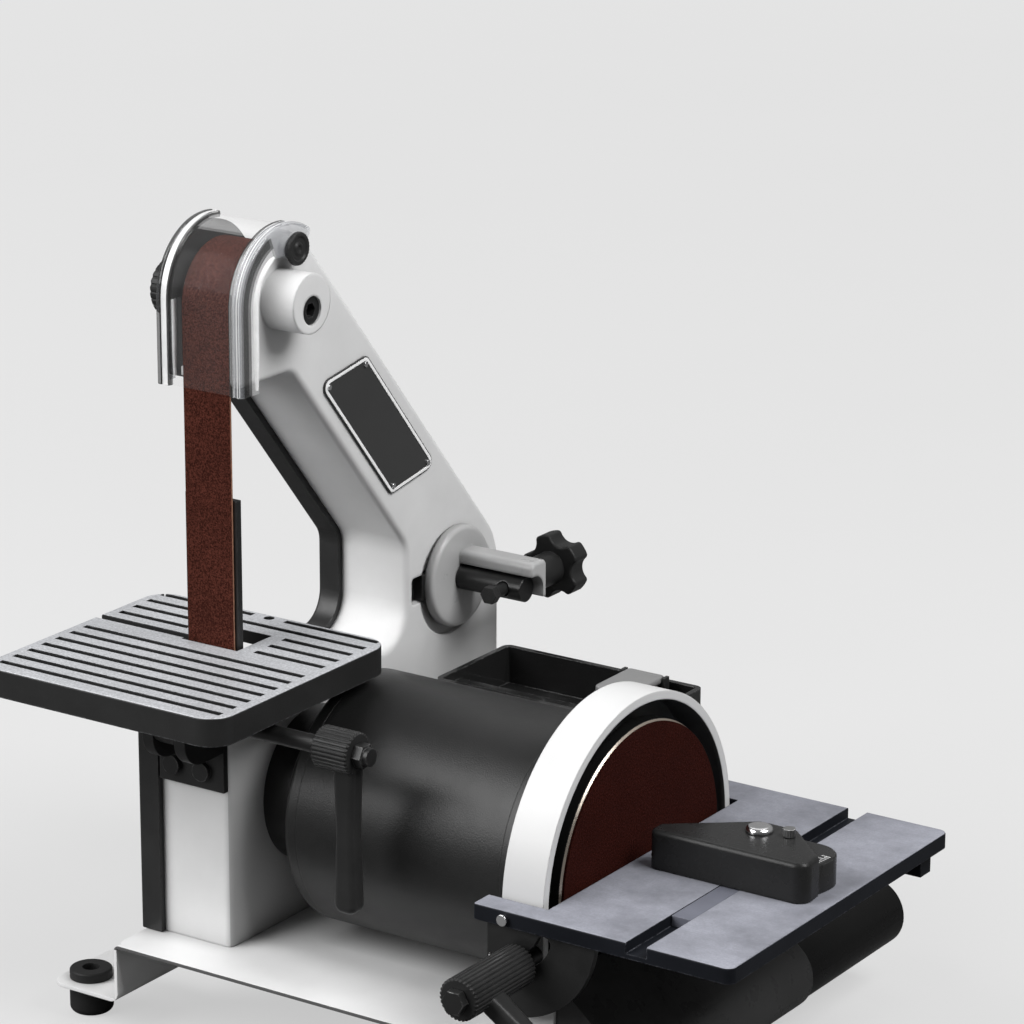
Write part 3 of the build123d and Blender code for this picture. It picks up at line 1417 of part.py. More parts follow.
bolts = []
bolt_spots = [
    (arm_left + arm_bolt_x, arm_bolt_front),
    (arm_left + arm_bolt_x, arm_bolt_back),
    (arm_right - arm_bolt_x, arm_bolt_front),
    (arm_right - arm_bolt_x, arm_bolt_back),
    (box_left + box_bolt_in, box_mid_y),
    (box_right - box_bolt_in, box_mid_y),
]
for x, y in bolt_spots:
    shank = rod_z(screw_r, base_low, bolt_top, x, y)
    hex_head = slab_z(Pos(x, y) * hexagon(bolt_head_r), base_low - bolt_head_len, base_low)
    bolts.append(shank + hex_head)
    base = base - shank
    arm = arm - shank
    box = box - shank
parts["base_bolts"] = Compound(bolts)
parts["base_plate"] = base
parts["arm_casting"] = arm
parts["switch_box"] = box

# Everything moves so that the origin lies on the bench, midway between the four feet
to_frame = Pos(-(foot_x_left + foot_x_right) / 2, -(foot_y_front + foot_y_back) / 2, -foot_low)
os.makedirs("parts", exist_ok=True)
for name, shape in parts.items():
    export_step(to_frame * shape, f"parts/{name}.step")
belt_length = sum(edge.length for edge in loop_edges(belt_thick / 2))
print("belt length", round(belt_length, 1))
print("spring gap between turns", round(spring_len / spring_turns - 2 * spring_wire_r, 2))
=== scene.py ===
import math

import bmesh
import bpy
from mathutils import Matrix, Vector


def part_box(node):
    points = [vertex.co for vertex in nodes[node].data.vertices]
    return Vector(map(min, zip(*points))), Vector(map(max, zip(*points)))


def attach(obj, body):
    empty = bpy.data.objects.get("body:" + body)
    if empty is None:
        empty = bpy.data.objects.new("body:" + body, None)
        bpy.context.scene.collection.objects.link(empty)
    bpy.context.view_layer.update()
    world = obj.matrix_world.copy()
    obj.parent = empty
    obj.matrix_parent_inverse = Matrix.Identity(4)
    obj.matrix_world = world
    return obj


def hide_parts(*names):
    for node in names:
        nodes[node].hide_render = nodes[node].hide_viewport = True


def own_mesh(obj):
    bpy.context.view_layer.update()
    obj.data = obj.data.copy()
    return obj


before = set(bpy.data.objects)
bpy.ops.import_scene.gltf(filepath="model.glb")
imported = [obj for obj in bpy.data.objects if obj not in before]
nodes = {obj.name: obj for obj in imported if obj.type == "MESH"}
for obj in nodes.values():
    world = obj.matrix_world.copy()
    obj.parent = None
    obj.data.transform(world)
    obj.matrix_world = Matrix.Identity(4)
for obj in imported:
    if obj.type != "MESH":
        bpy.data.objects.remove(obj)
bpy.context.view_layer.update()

# Sizes below are millimetres from the disc's centre: X along the motor, Y to the back, Z up.
# The row frame has its origin on the bench between the four feet.
SHIFT = Vector((130.0, -12.0, 104.0))
MM = 0.001


def at(x, y, z):
    """A point given from the disc's centre, in the row frame in metres."""
    return (Vector((x, y, z)) + SHIFT) * MM


def circle(count):
    """Angles of a number of even steps round a circle."""
    return [2 * math.pi * step / count for step in range(count)]


# Camera at the photograph's angle
AZIMUTH = math.radians(33.741)
ELEVATION = math.radians(17.0124)
ROLL = math.radians(0.195)
CAMERA_AT = (879.6, -1419.4, 669.2)
FOCAL_PX = 4140.6
IMAGE_PX = 1024
SENSOR = 36.0
CLIP_NEAR, CLIP_FAR = 0.05, 50.0


def place_camera():
    flat = Vector((math.sin(AZIMUTH), -math.cos(AZIMUTH), 0)) * math.cos(ELEVATION)
    back = flat + Vector((0, 0, math.sin(ELEVATION)))
    right = (-back).cross(Vector((0, 0, 1))).normalized()
    up = right.cross(-back)
    rolled_right = right * math.cos(ROLL) + up * math.sin(ROLL)
    rolled_up = up * math.cos(ROLL) - right * math.sin(ROLL)
    data = bpy.data.cameras.new("camera")
    data.sensor_width = SENSOR
    data.lens = FOCAL_PX * SENSOR / IMAGE_PX
    data.clip_start = CLIP_NEAR
    data.clip_end = CLIP_FAR
    camera = bpy.data.objects.new("camera", data)
    bpy.context.scene.collection.objects.link(camera)
    turn = Matrix((rolled_right, rolled_up, back)).transposed().to_4x4()
    camera.matrix_world = Matrix.Translation(at(*CAMERA_AT)) @ turn
    bpy.context.scene.camera = camera


place_camera()

# Node helpers, with the colour sockets of a mix node and the range that most of a noise texture fills
MIX_FACTOR, MIX_FIRST, MIX_SECOND, MIX_RESULT = 0, 6, 7, 2
NOISE_LOW, NOISE_HIGH = 0.3, 0.7
BEVEL_SAMPLES, SHELTER_SAMPLES = 4, 6


def put(tree, value, socket):
    """Link an output to an input socket, or set the input to a constant."""
    if isinstance(value, bpy.types.NodeSocket):
        tree.links.new(value, socket)
    else:
        socket.default_value = value


def add(tree, kind, settings=None, **inputs):
    """A new node with its settings and inputs; an underscore stands for a space in an input's name."""
    made = tree.nodes.new(kind)
    for key, value in (settings or {}).items():
        setattr(made, key, value)
    for key, value in inputs.items():
        put(tree, value, made.inputs[key.replace("_", " ")])
    return made


def mix(tree, factor, first, second):
    made = add(tree, "ShaderNodeMix", {"data_type": "RGBA"})
    for value, index in ((factor, MIX_FACTOR), (first, MIX_FIRST), (second, MIX_SECOND)):
        put(tree, value, made.inputs[index])
    return made.outputs[MIX_RESULT]


def span(tree, value, low, high, start, end):
    """A value carried over from the range low to high to the range start to end, and held beyond it."""
    ranges = {"From_Min": low, "From_Max": high, "To_Min": start, "To_Max": end}
    return add(tree, "ShaderNodeMapRange", Value=value, **ranges).outputs[0]


def between(tree, mask, first, second):
    """A value that goes from first to second as a mask goes from nought to one."""
    return add(tree, "ShaderNodeMapRange", Value=mask, To_Min=first, To_Max=second).outputs[0]


def patchy(tree, value, start=0.0, end=1.0):
    """Noise spread over the range start to end."""
    return span(tree, value, NOISE_LOW, NOISE_HIGH, start, end)


def maths(tree, operation, first, second):
    made = add(tree, "ShaderNodeMath", {"operation": operation})
    put(tree, first, made.inputs[0])
    put(tree, second, made.inputs[1])
    return made.outputs[0]


def split(tree, vector):
    return add(tree, "ShaderNodeSeparateXYZ", Vector=vector).outputs


def noise(tree, where, scale, detail=3.0, rough=0.55):
    made = add(tree, "ShaderNodeTexNoise", Vector=where, Scale=scale, Detail=detail, Roughness=rough)
    return made.outputs["Fac"]


def tint(colour, factor=1.0):
    return tuple(min(1.0, c * factor) for c in colour[:3]) + (1.0,)


def grey(value):
    return (value, value, value)


def start(name):
    """A new material with its node tree and shader, and where a point lies and faces on the object."""
    material = bpy.data.materials.new(name)
    material.use_nodes = True
    tree = material.node_tree
    where = tree.nodes.new("ShaderNodeTexCoord")
    return material, tree, tree.nodes["Principled BSDF"], where.outputs["Object"], where.outputs["Normal"]


def rounded_normal(tree, radius):
    return add(tree, "ShaderNodeBevel", {"samples": BEVEL_SAMPLES}, Radius=radius * MM).outputs[0]


def relieve(tree, bsdf, strength, depth, height, rounded=None):
    """Give a shader a relief of a depth in millimetres, upon a rounded normal if there is one."""
    bump = add(tree, "ShaderNodeBump", Strength=strength, Distance=depth * MM, Height=height)
    if rounded is not None:
        put(tree, rounded, bump.inputs["Normal"])
    put(tree, bump.outputs[0], bsdf.inputs["Normal"])


# Edges, worn and with painted highlights: where a face counts as flat, and the part of the noise that
# breaks the marks up
EDGE_FLAT = 0.97
PATCH_LOW, PATCH_HIGH = 0.42, 0.62


def edge_mask(tree, where, radius, low, scale):
    """One along edges and corners, where wear and painted highlights go, broken up by noise, and nought
    elsewhere.
    """
    flat = tree.nodes.new("ShaderNodeNewGeometry").outputs["Normal"]
    dot = add(tree, "ShaderNodeVectorMath", {"operation": "DOT_PRODUCT"})
    put(tree, rounded_normal(tree, radius), dot.inputs[0])
    put(tree, flat, dot.inputs[1])
    edge = span(tree, dot.outputs["Value"], low, EDGE_FLAT, 1.0, 0.0)
    patch = span(tree, noise(tree, where, scale, detail=5.0, rough=0.7), PATCH_LOW, PATCH_HIGH, 0.0, 1.0)
    return maths(tree, "MULTIPLY", edge, patch)


# Coated surfaces: edge colour that is partly wear and partly a painted highlight, painted shade in
# sheltered corners, and how much finer gloss varies than colour
EDGE_REACH, EDGE_LOW, EDGE_SCALE, EDGE_ROUGH = 1.2, 0.80, 260.0, 0.35
SHELTER_LOW, SHELTER_HIGH, SHELTER_TONE = 0.35, 0.95, 0.25
GLOSS_FINER = 4
COAT_ROUGH = 0.12
GRAIN_DEPTH = 0.4


def coating(name, colour, rough, spread=0.06, blotch=22.0, grain=0.08, grain_scale=900.0, metal=0.0,
            coat=0.0, bevel=0.6, wear_and_highlight=None, rough_spread=0.06, specular=0.4, corner_shade=0.0, corner_shade_reach=12.0,
            zone=None, zone_colour=None):
    """Painted, moulded or bare surface: uneven colour and gloss, fine grain, edge colour that is partly
    wear and partly a painted highlight, and painted shade in sheltered corners.

    bevel and corner_shade_reach are in millimetres. zone is a function that makes a mask, one where the
    surface takes zone_colour instead.
    """
    material, tree, bsdf, where, outward = start(name)
    blot = patchy(tree, noise(tree, where, blotch, detail=5.0))
    shade = mix(tree, blot, tint(colour, 1 - spread), tint(colour, 1 + spread))
    uneven = noise(tree, where, blotch * GLOSS_FINER, detail=4.0)
    gloss = patchy(tree, uneven, rough - rough_spread, rough + rough_spread)
    if zone is not None:
        shade = mix(tree, zone(tree, where, outward), shade, tint(zone_colour))
    # Painted shade: an occlusion node darkens the colour in sheltered corners and where parts meet
    if corner_shade:
        samples = {"samples": SHELTER_SAMPLES}
        shelter = add(tree, "ShaderNodeAmbientOcclusion", samples, Distance=corner_shade_reach * MM)
        sheltered_shade = span(tree, shelter.outputs["AO"], SHELTER_LOW, SHELTER_HIGH, corner_shade, 0.0)
        shade = mix(tree, sheltered_shade, shade, tint(colour, SHELTER_TONE))
    # Edge colour: partly wear, partly a painted highlight along edges and corners
    if wear_and_highlight is not None:
        mask = edge_mask(tree, where, EDGE_REACH, EDGE_LOW, EDGE_SCALE)
        shade = mix(tree, mask, shade, tint(wear_and_highlight))
        gloss = between(tree, mask, gloss, EDGE_ROUGH)
    put(tree, shade, bsdf.inputs["Base Color"])
    put(tree, gloss, bsdf.inputs["Roughness"])
    bsdf.inputs["Metallic"].default_value = metal
    bsdf.inputs["Coat Weight"].default_value = coat
    bsdf.inputs["Coat Roughness"].default_value = COAT_ROUGH
    bsdf.inputs["Specular IOR Level"].default_value = specular
    height = noise(tree, where, grain_scale)
    relieve(tree, bsdf, grain, GRAIN_DEPTH, height, rounded_normal(tree, bevel))
    return material


# Abrasive: scales of grain, specks and stains, the parts of the noise that they take, gloss and relief
GRIT_SCALE, SPECK_FINER, STREAK_SCALE = 1300.0, 1.7, 45.0
CLUMP_LOW, CLUMP_HIGH = 0.40, 0.66
STREAK_DIM, STREAK_BRIGHT = 0.7, 1.2
SPECK_LOW, SPECK_HIGH, SPECK_BRIGHT = 0.66, 0.76, 2.2
RESIN_ROUGH, GRAIN_ROUGH = 0.9, 0.65
GRIT_SPECULAR = 0.06
GRIT_STRENGTH, GRIT_DEPTH = 0.5, 0.3


def grit(name, dark, light):
    """Coated abrasive: dark resin with bright specks of grain."""
    material, tree, bsdf, where, _ = start(name)
    grains = noise(tree, where, GRIT_SCALE, detail=4.0, rough=0.7)
    clump = span(tree, grains, CLUMP_LOW, CLUMP_HIGH, 0.0, 1.0)
    streak = patchy(tree, noise(tree, where, STREAK_SCALE, detail=4.0), STREAK_DIM, STREAK_BRIGHT)
    fine = noise(tree, where, GRIT_SCALE * SPECK_FINER, detail=2.0)
    speck = span(tree, fine, SPECK_LOW, SPECK_HIGH, 0.0, 1.0)
    shade = mix(tree, maths(tree, "MULTIPLY", clump, streak), tint(dark), tint(light))
    shade = mix(tree, speck, shade, tint(light, SPECK_BRIGHT))
    put(tree, shade, bsdf.inputs["Base Color"])
    put(tree, between(tree, clump, RESIN_ROUGH, GRAIN_ROUGH), bsdf.inputs["Roughness"])
    bsdf.inputs["Specular IOR Level"].default_value = GRIT_SPECULAR
    relieve(tree, bsdf, GRIT_STRENGTH, GRIT_DEPTH, clump)
    return material


# Ground tops: how far below the top the paint starts, how level a bare face is, grinding lines, specks and
# stains, the paint's own unevenness, and the paler paint along its edges, partly wear and partly a painted
# highlight
PAINT_BELOW, BARE_ABOVE = 0.9, 0.6
LEVEL_LOW, LEVEL_HIGH = 0.55, 0.75
GRIND_SCALE, GRIND_SPREAD, GRIND_ROUGH_SPREAD = (40.0, 1400.0, 1.0), 0.08, 0.07
FLECK_SCALE, FLECK_LOW, FLECK_HIGH = 900.0, 0.35, 0.65
STAIN_SCALE, STAIN_LOW, STAIN_HIGH, STAIN_SHADE = 30.0, 0.36, 0.66, 0.55
PAINT_GRAIN, PAINT_DARK, PAINT_LIGHT = 700.0, 0.8, 1.25
RIM_EDGE_REACH, RIM_EDGE_LOW, RIM_EDGE_SCALE, RIM_EDGE_SHARE, RIM_EDGE_TONE = 1.0, 0.78, 300.0, 0.55, 0.7
TOP_BEVEL, TOP_STRENGTH, TOP_DEPTH = 0.5, 0.14, 0.3


def ground_top(name, top, land, side, land_rough, side_rough, land_metal, mottle, speckle, specular):
    """Painted casting whose upper face is ground bare; grooves, edges and sides keep the paint."""
    material, tree, bsdf, where, outward = start(name)
    paint_z, bare_z = ((top - depth + SHIFT.z) * MM for depth in (PAINT_BELOW, BARE_ABOVE))
    near_top = span(tree, split(tree, where)["Z"], paint_z, bare_z, 0.0, 1.0)
    level = span(tree, split(tree, outward)["Z"], LEVEL_LOW, LEVEL_HIGH, 0.0, 1.0)
    face = maths(tree, "MULTIPLY", near_top, level)
    stretched = add(tree, "ShaderNodeMapping", Vector=where, Scale=GRIND_SCALE).outputs[0]
    lines = noise(tree, stretched, 1.0)
    fine = noise(tree, where, FLECK_SCALE, rough=0.7)
    broad = noise(tree, where, STAIN_SCALE, detail=8.0, rough=0.68)
    bare = mix(tree, patchy(tree, lines), tint(land, 1 - GRIND_SPREAD), tint(land, 1 + GRIND_SPREAD))
    bare = mix(tree, span(tree, fine, FLECK_LOW, FLECK_HIGH, 0.0, speckle), bare, tint(land, STAIN_SHADE))
    bare = mix(tree, span(tree, broad, STAIN_LOW, STAIN_HIGH, 0.0, mottle), bare, tint(land, STAIN_SHADE))
    coat = mix(tree, patchy(tree, broad), tint(side, PAINT_DARK), tint(side, PAINT_LIGHT))
    # Paler paint along the edges: partly wear, partly a painted highlight
    wear_and_highlight = edge_mask(tree, where, RIM_EDGE_REACH, RIM_EDGE_LOW, RIM_EDGE_SCALE)
    coat = mix(tree, maths(tree, "MULTIPLY", wear_and_highlight, RIM_EDGE_SHARE), coat, tint(land, RIM_EDGE_TONE))
    put(tree, mix(tree, face, coat, bare), bsdf.inputs["Base Color"])
    rough = patchy(tree, lines, land_rough - GRIND_ROUGH_SPREAD, land_rough + GRIND_ROUGH_SPREAD)
    put(tree, between(tree, face, side_rough, rough), bsdf.inputs["Roughness"])
    put(tree, maths(tree, "MULTIPLY", face, land_metal), bsdf.inputs["Metallic"])
    bsdf.inputs["Specular IOR Level"].default_value = specular
    relief = mix(tree, face, noise(tree, where, PAINT_GRAIN), lines)
    relieve(tree, bsdf, TOP_STRENGTH, TOP_DEPTH, relief, rounded_normal(tree, TOP_BEVEL))
    return material


# Clear plastic: haze, gloss, faint waves, and the share of its alpha that darkens a shadow
HAZE_SCALE, HAZE_DARK, HAZE_LIGHT = 70.0, 0.85, 1.05
CLEAR_SCALE, CLEAR_ROUGH, CLEAR_ROUGH_SPREAD = 120.0, 0.10, 0.04
WAVE_SCALE, WAVE_STRENGTH, WAVE_DEPTH = 90.0, 0.05, 0.5
PLASTIC_IOR = 1.49
SHADOW_SHARE = 0.1


def clear(name, colour, alpha):
    """Moulded clear plastic with faint waves and a light haze; alpha is how much of it one face shows."""
    material, tree, bsdf, where, _ = start(name)
    haze = patchy(tree, noise(tree, where, HAZE_SCALE, detail=4.0))
    put(tree, mix(tree, haze, tint(colour, HAZE_DARK), tint(colour, HAZE_LIGHT)), bsdf.inputs["Base Color"])
    uneven = noise(tree, where, CLEAR_SCALE)
    rough = patchy(tree, uneven, CLEAR_ROUGH - CLEAR_ROUGH_SPREAD, CLEAR_ROUGH + CLEAR_ROUGH_SPREAD)
    put(tree, rough, bsdf.inputs["Roughness"])
    bsdf.inputs["IOR"].default_value = PLASTIC_IOR
    shadow = tree.nodes.new("ShaderNodeLightPath").outputs["Is Shadow Ray"]
    put(tree, between(tree, shadow, alpha, alpha * SHADOW_SHARE), bsdf.inputs["Alpha"])
    relieve(tree, bsdf, WAVE_STRENGTH, WAVE_DEPTH, noise(tree, where, WAVE_SCALE, detail=2.0))
    return material


# Masks for surfaces that are one colour here and another there; a FACES value is a part of a unit normal
GUARD_MOUTH_R, MOUTH_MARGIN = 71.8, 1.2
GUARD_FRONT, FRONT_MARGIN = -1.5, 0.05
DISC_RIM = 2.0
HOOD_BACK = 74.2
# Painted shade low on the column's side by the motor: its top, how far it fades, and its greatest share
COLUMN_SHADE_TOP, COLUMN_SHADE_FADE, COLUMN_SHADE_MOST = 45.0, 40.0, 0.8
BASE_EDGE = 2.2
FACES_BACK, FACES_RIGHT, FACES_LEVEL = -0.5, 0.7, 0.5


def guard_mouth_shade(tree, where, outward):
    """One inside the guard's mouth, which is painted dark as shade."""
    x, y, z = (split(tree, where)[axis] for axis in "XYZ")
    across = maths(tree, "POWER", maths(tree, "SUBTRACT", y, SHIFT.y * MM), 2.0)
    rise = maths(tree, "POWER", maths(tree, "SUBTRACT", z, SHIFT.z * MM), 2.0)
    r = maths(tree, "SQRT", maths(tree, "ADD", across, rise), 0.0)
    within = maths(tree, "LESS_THAN", r, (GUARD_MOUTH_R + MOUTH_MARGIN) * MM)
    behind = maths(tree, "LESS_THAN", x, (GUARD_FRONT + SHIFT.x - FRONT_MARGIN) * MM)
    forward = maths(tree, "GREATER_THAN", split(tree, outward)["X"], FACES_BACK)
    return maths(tree, "MULTIPLY", maths(tree, "MULTIPLY", within, behind), forward)


def disc_side_shade(tree, where, outward):
    """One on the disc's side behind the bright turned rim at its face, which is painted dark as shade."""
    return maths(tree, "LESS_THAN", split(tree, where)["X"], (SHIFT.x - DISC_RIM) * MM)


def column_side_shade(tree, where, outward):
    """Up to COLUMN_SHADE_MOST low on the column's side by the motor, where the paint is darkened as painted
    shade.
    """
    full, none = ((z + SHIFT.z) * MM for z in (COLUMN_SHADE_TOP - COLUMN_SHADE_FADE, COLUMN_SHADE_TOP))
    low = span(tree, split(tree, where)["Z"], full, none, COLUMN_SHADE_MOST, 0.0)
    return maths(tree, "MULTIPLY", low, maths(tree, "GREATER_THAN", split(tree, outward)["X"], FACES_RIGHT))


def tube_part(tree, where, outward):
    """One on the round tube behind the hood, which is blacker; the hood's paler grey is painted light."""
    return maths(tree, "GREATER_THAN", split(tree, where)["Y"], (HOOD_BACK + SHIFT.y) * MM)


def sheared_edge(tree, where, outward):
    """One on the base plate's thin cut edge, which is coloured dark."""
    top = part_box("base_plate")[1][2]
    high = maths(tree, "GREATER_THAN", split(tree, where)["Z"], top - BASE_EDGE * MM)
    flat = maths(tree, "ABSOLUTE", split(tree, outward)["Z"], 0.0)
    return maths(tree, "MULTIPLY", high, maths(tree, "LESS_THAN", flat, FACES_LEVEL))


# Materials: colour, roughness and spread of colour come first
BELT_TABLE_TOP, DISC_TABLE_TOP = 75.1, 5.0
# The base's darkening where parts stand on it is painted shade; its thin edge is coloured dark
base_paint = coating("base_paint", grey(0.76), 0.38, 0.05, grain=0.05, grain_scale=500, rough_spread=0.02,
                     specular=0.3, corner_shade=0.6, zone=sheared_edge, zone_colour=grey(0.10))
# The dark grey inside the guard's mouth is painted shade
guard_paint = coating("guard_paint", grey(0.59), 0.42, 0.03, grain=0.05, grain_scale=500, bevel=0.9,
                      zone=guard_mouth_shade, zone_colour=grey(0.08))
# The arm's darkened corners and the darker low side of the column by the motor are painted shade
arm_paint = coating("arm_paint", grey(0.66), 0.46, grain_scale=420, bevel=1.8, specular=0.15,
                    corner_shade=0.40, corner_shade_reach=14.0, zone=column_side_shade, zone_colour=grey(0.36))
# The bracket's darkened corners are painted shade
slide_paint = coating("slide_paint", grey(0.44), 0.32, grain=0.05, grain_scale=420, coat=0.2, bevel=2.2,
                      corner_shade=0.5)
motor_paint = coating("motor_paint", grey(0.011), 0.40, 0.15, blotch=30, grain=0.28, grain_scale=1500,
                      wear_and_highlight=grey(0.03), rough_spread=0.02, specular=0.36)
black_paint = coating("black_paint", grey(0.011), 0.42, 0.2, grain=0.12, grain_scale=1200, wear_and_highlight=grey(0.04))
black_plastic = coating("black_plastic", grey(0.015), 0.42, 0.2, grain=0.10, grain_scale=1600,
                        wear_and_highlight=grey(0.05))
knob_plastic = coating("knob_plastic", grey(0.022), 0.36, 0.25, grain=0.10, grain_scale=1800,
                       wear_and_highlight=grey(0.04), specular=0.16)
# The hood's paler grey than the tube's is painted light under the table
hood_plastic = coating("hood_plastic", grey(0.055), 0.30, 0.2, specular=0.14, zone=tube_part,
                       zone_colour=grey(0.004))
box_plastic = coating("box_plastic", grey(0.012), 0.13, 0.2, grain=0.03, grain_scale=300, wear_and_highlight=grey(0.07),
                      specular=0.5)
flap_plastic = coating("flap_plastic", grey(0.20), 0.35, 0.05, grain=0.05, bevel=1.2)
# The mitre head's pale edge colour is partly wear and partly a painted highlight along its edges
dark_casting = coating("dark_casting", grey(0.018), 0.26, 0.20, grain=0.14, grain_scale=1100, bevel=1.4,
                       wear_and_highlight=grey(0.12), specular=0.2)
steel = coating("steel", grey(0.36), 0.38, 0.10, grain=0.10, grain_scale=1500, metal=1.0)
bar_steel = coating("bar_steel", (0.13, 0.135, 0.165), 0.48, 0.12, blotch=60, grain=0.10, grain_scale=1500,
                    metal=0.1)
dark_steel = coating("dark_steel", grey(0.025), 0.38, 0.15, grain=0.12, grain_scale=1400, metal=0.5,
                     wear_and_highlight=grey(0.2))
chrome = coating("chrome", (0.80, 0.80, 0.81), 0.16, 0.04, grain=0.03, grain_scale=800, metal=1.0,
                 rough_spread=0.04)
aluminium = coating("aluminium", (0.60, 0.61, 0.62), 0.34, 0.07, grain=0.10, grain_scale=1500, metal=1.0)
# The disc's dark side behind its rim is painted shade
disc_metal = coating("disc_metal", (0.46, 0.40, 0.34), 0.30, 0.15, grain=0.1, grain_scale=1500, metal=0.8,
                     zone=disc_side_shade, zone_colour=grey(0.03))
iron = coating("iron", grey(0.20), 0.5, 0.12, grain=0.2, grain_scale=1200, metal=0.8)
copper = coating("copper", (0.45, 0.18, 0.07), 0.4, 0.12, grain=0.3, grain_scale=1600, metal=0.8)
rubber = coating("rubber", grey(0.010), 0.62, 0.2, grain=0.2, grain_scale=1500, specular=0.3)
plate_paint = coating("plate_paint", grey(0.038), 0.35, 0.08, grain=0.06, grain_scale=1300)
line_paint = coating("line_paint", grey(0.90), 0.4, 0.05, grain=0.05, grain_scale=1500)
belt_cloth = coating("belt_cloth", (0.16, 0.10, 0.07), 0.8, 0.15, blotch=60, grain=0.4, grain_scale=2200)
belt_edge = coating("belt_edge", (0.26, 0.13, 0.08), 0.8, 0.3, blotch=400, grain=0.4, grain_scale=2200)
belt_grit = grit("belt_grit", (0.024, 0.006, 0.0035), (0.105, 0.029, 0.019))
disc_grit = grit("disc_grit", (0.014, 0.002, 0.001), (0.044, 0.008, 0.005))
belt_top = ground_top("belt_table_metal", BELT_TABLE_TOP, land=(0.58, 0.59, 0.615), side=grey(0.016),
                      land_rough=0.42, side_rough=0.44, land_metal=0.25, mottle=0.25, speckle=0.8,
                      specular=0.28)
disc_top = ground_top("disc_table_metal", DISC_TABLE_TOP, land=(0.305, 0.312, 0.355),
                      side=(0.009, 0.010, 0.013), land_rough=0.50, side_rough=0.42, land_metal=0.05,
                      mottle=0.9, speckle=0.35, specular=0.08)
# Shield plastics: the white strips and beads are painted highlights, the dark strips painted shade
sheet_plastic = clear("sheet_plastic", grey(0.40), 0.030)
crown_plastic = clear("crown_plastic", grey(0.80), 0.14)
hazy_plastic = clear("hazy_plastic", (0.34, 0.35, 0.37), 0.34)
glint_strip_plastic = clear("glint_strip_plastic", grey(0.92), 0.62)
shade_strip_plastic = clear("shade_strip_plastic", grey(0.030), 0.66)
rim_plastic = clear("rim_plastic", grey(0.92), 0.90)

looks = {
    "abrasive_disc": disc_grit, "arm_casting": arm_paint, "arm_screws": dark_steel, "axle_pivot_pin": steel,
    "base_bolts": steel, "base_plate": base_paint, "belt_table": belt_top,
    "belt_table_bracket": black_paint, "belt_table_lock_handle": knob_plastic,
    "belt_table_lock_rod": dark_steel, "cable_gland": black_plastic, "cooling_fan": black_plastic,
    "cover_knob": knob_plastic, "disc_guard": guard_paint, "disc_plate": disc_metal, "disc_table": disc_top,
    "disc_table_lock_handle": knob_plastic, "disc_table_lock_stud": dark_steel,
    "disc_table_pivot_screws": chrome, "disc_table_quadrant": black_paint, "drive_wheel": aluminium,
    "dust_hood": hood_plastic, "end_bell_left": motor_paint, "end_bell_right": motor_paint,
    "eye_shield": hazy_plastic, "idler_axle": dark_steel, "idler_bearings": steel, "idler_wheel": aluminium,
    "mitre_bar": bar_steel, "mitre_head": dark_casting, "mitre_lock_screw": steel,
    "mitre_pivot_screw": chrome, "motor_screws": steel, "motor_shaft": steel, "motor_shell": motor_paint,
    "name_plate_rivets": chrome, "name_plate": plate_paint, "platen": black_paint, "rotor_core": iron,
    "rubber_feet": rubber, "run_capacitor": aluminium, "sanding_belt": belt_grit, "shaft_bearings": steel,
    "shield_knob": knob_plastic, "side_cover": black_plastic, "stator_core": iron,
    "stator_windings": copper, "switch_body": black_plastic, "switch_box": box_plastic,
    "switch_paddle": flap_plastic, "tension_bracket": slide_paint, "tension_key": black_paint,
    "tension_spring": steel, "tilt_pointer": line_paint, "tracking_axle": dark_steel,
    "tracking_bearings": steel, "tracking_knob": knob_plastic, "tracking_wheel": aluminium,
}
for name, material in looks.items():
    mesh = nodes[name].data
    mesh.materials.clear()
    mesh.materials.append(material)

# Mesh helpers
CORNER_STEPS = 5


def finish_mesh(name, bm, materials, body, sharp):
    """A smooth piece that rides a body; edges that turn more than sharp, in degrees, stay sharp."""
    bmesh.ops.recalc_face_normals(bm, faces=bm.faces)
    mesh = bpy.data.meshes.new(name)
    bm.to_mesh(mesh)
    bm.free()
    for material in materials:
        mesh.materials.append(material)
    for polygon in mesh.polygons:
        polygon.use_smooth = True
    mesh.set_sharp_from_angle(angle=math.radians(sharp))
    made = bpy.data.objects.new(name, mesh)
    bpy.context.scene.collection.objects.link(made)
    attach(made, body)
    return made


def rounded_run(points, radii):
    """An open line through 2-D points with its inner corners rounded."""
    line = [Vector(points[0])]
    for i in range(1, len(points) - 1):
        corner = Vector(points[i])
        before = (Vector(points[i - 1]) - corner).normalized()
        after = (Vector(points[i + 1]) - corner).normalized()
        half = before.angle(after) / 2
        reach = radii[i] / math.tan(half)
        centre = corner + (before + after).normalized() * radii[i] / math.sin(half)
        first = corner + before * reach - centre
        last = corner + after * reach - centre
        turn = math.atan2(first.x * last.y - first.y * last.x, first.dot(last))
        for step in range(CORNER_STEPS + 1):
            angle = turn * step / CORNER_STEPS
            spun = Vector((first.x * math.cos(angle) - first.y * math.sin(angle),
                           first.x * math.sin(angle) + first.y * math.cos(angle)))
            line.append(centre + spun)
    line.append(Vector(points[-1]))
    return line


def close_rings(bm, rings, caps=True):
    """Faces between rings of vertices, with the first and last ring filled if caps is set."""
    count = len(rings[0])
    for ring, after in zip(rings, rings[1:]):
        for i in range(count):
            k = (i + 1) % count
            bm.faces.new((ring[i], ring[k], after[k], after[i]))
    if caps:
        bm.faces.new(rings[0])
        bm.faces.new(rings[-1])


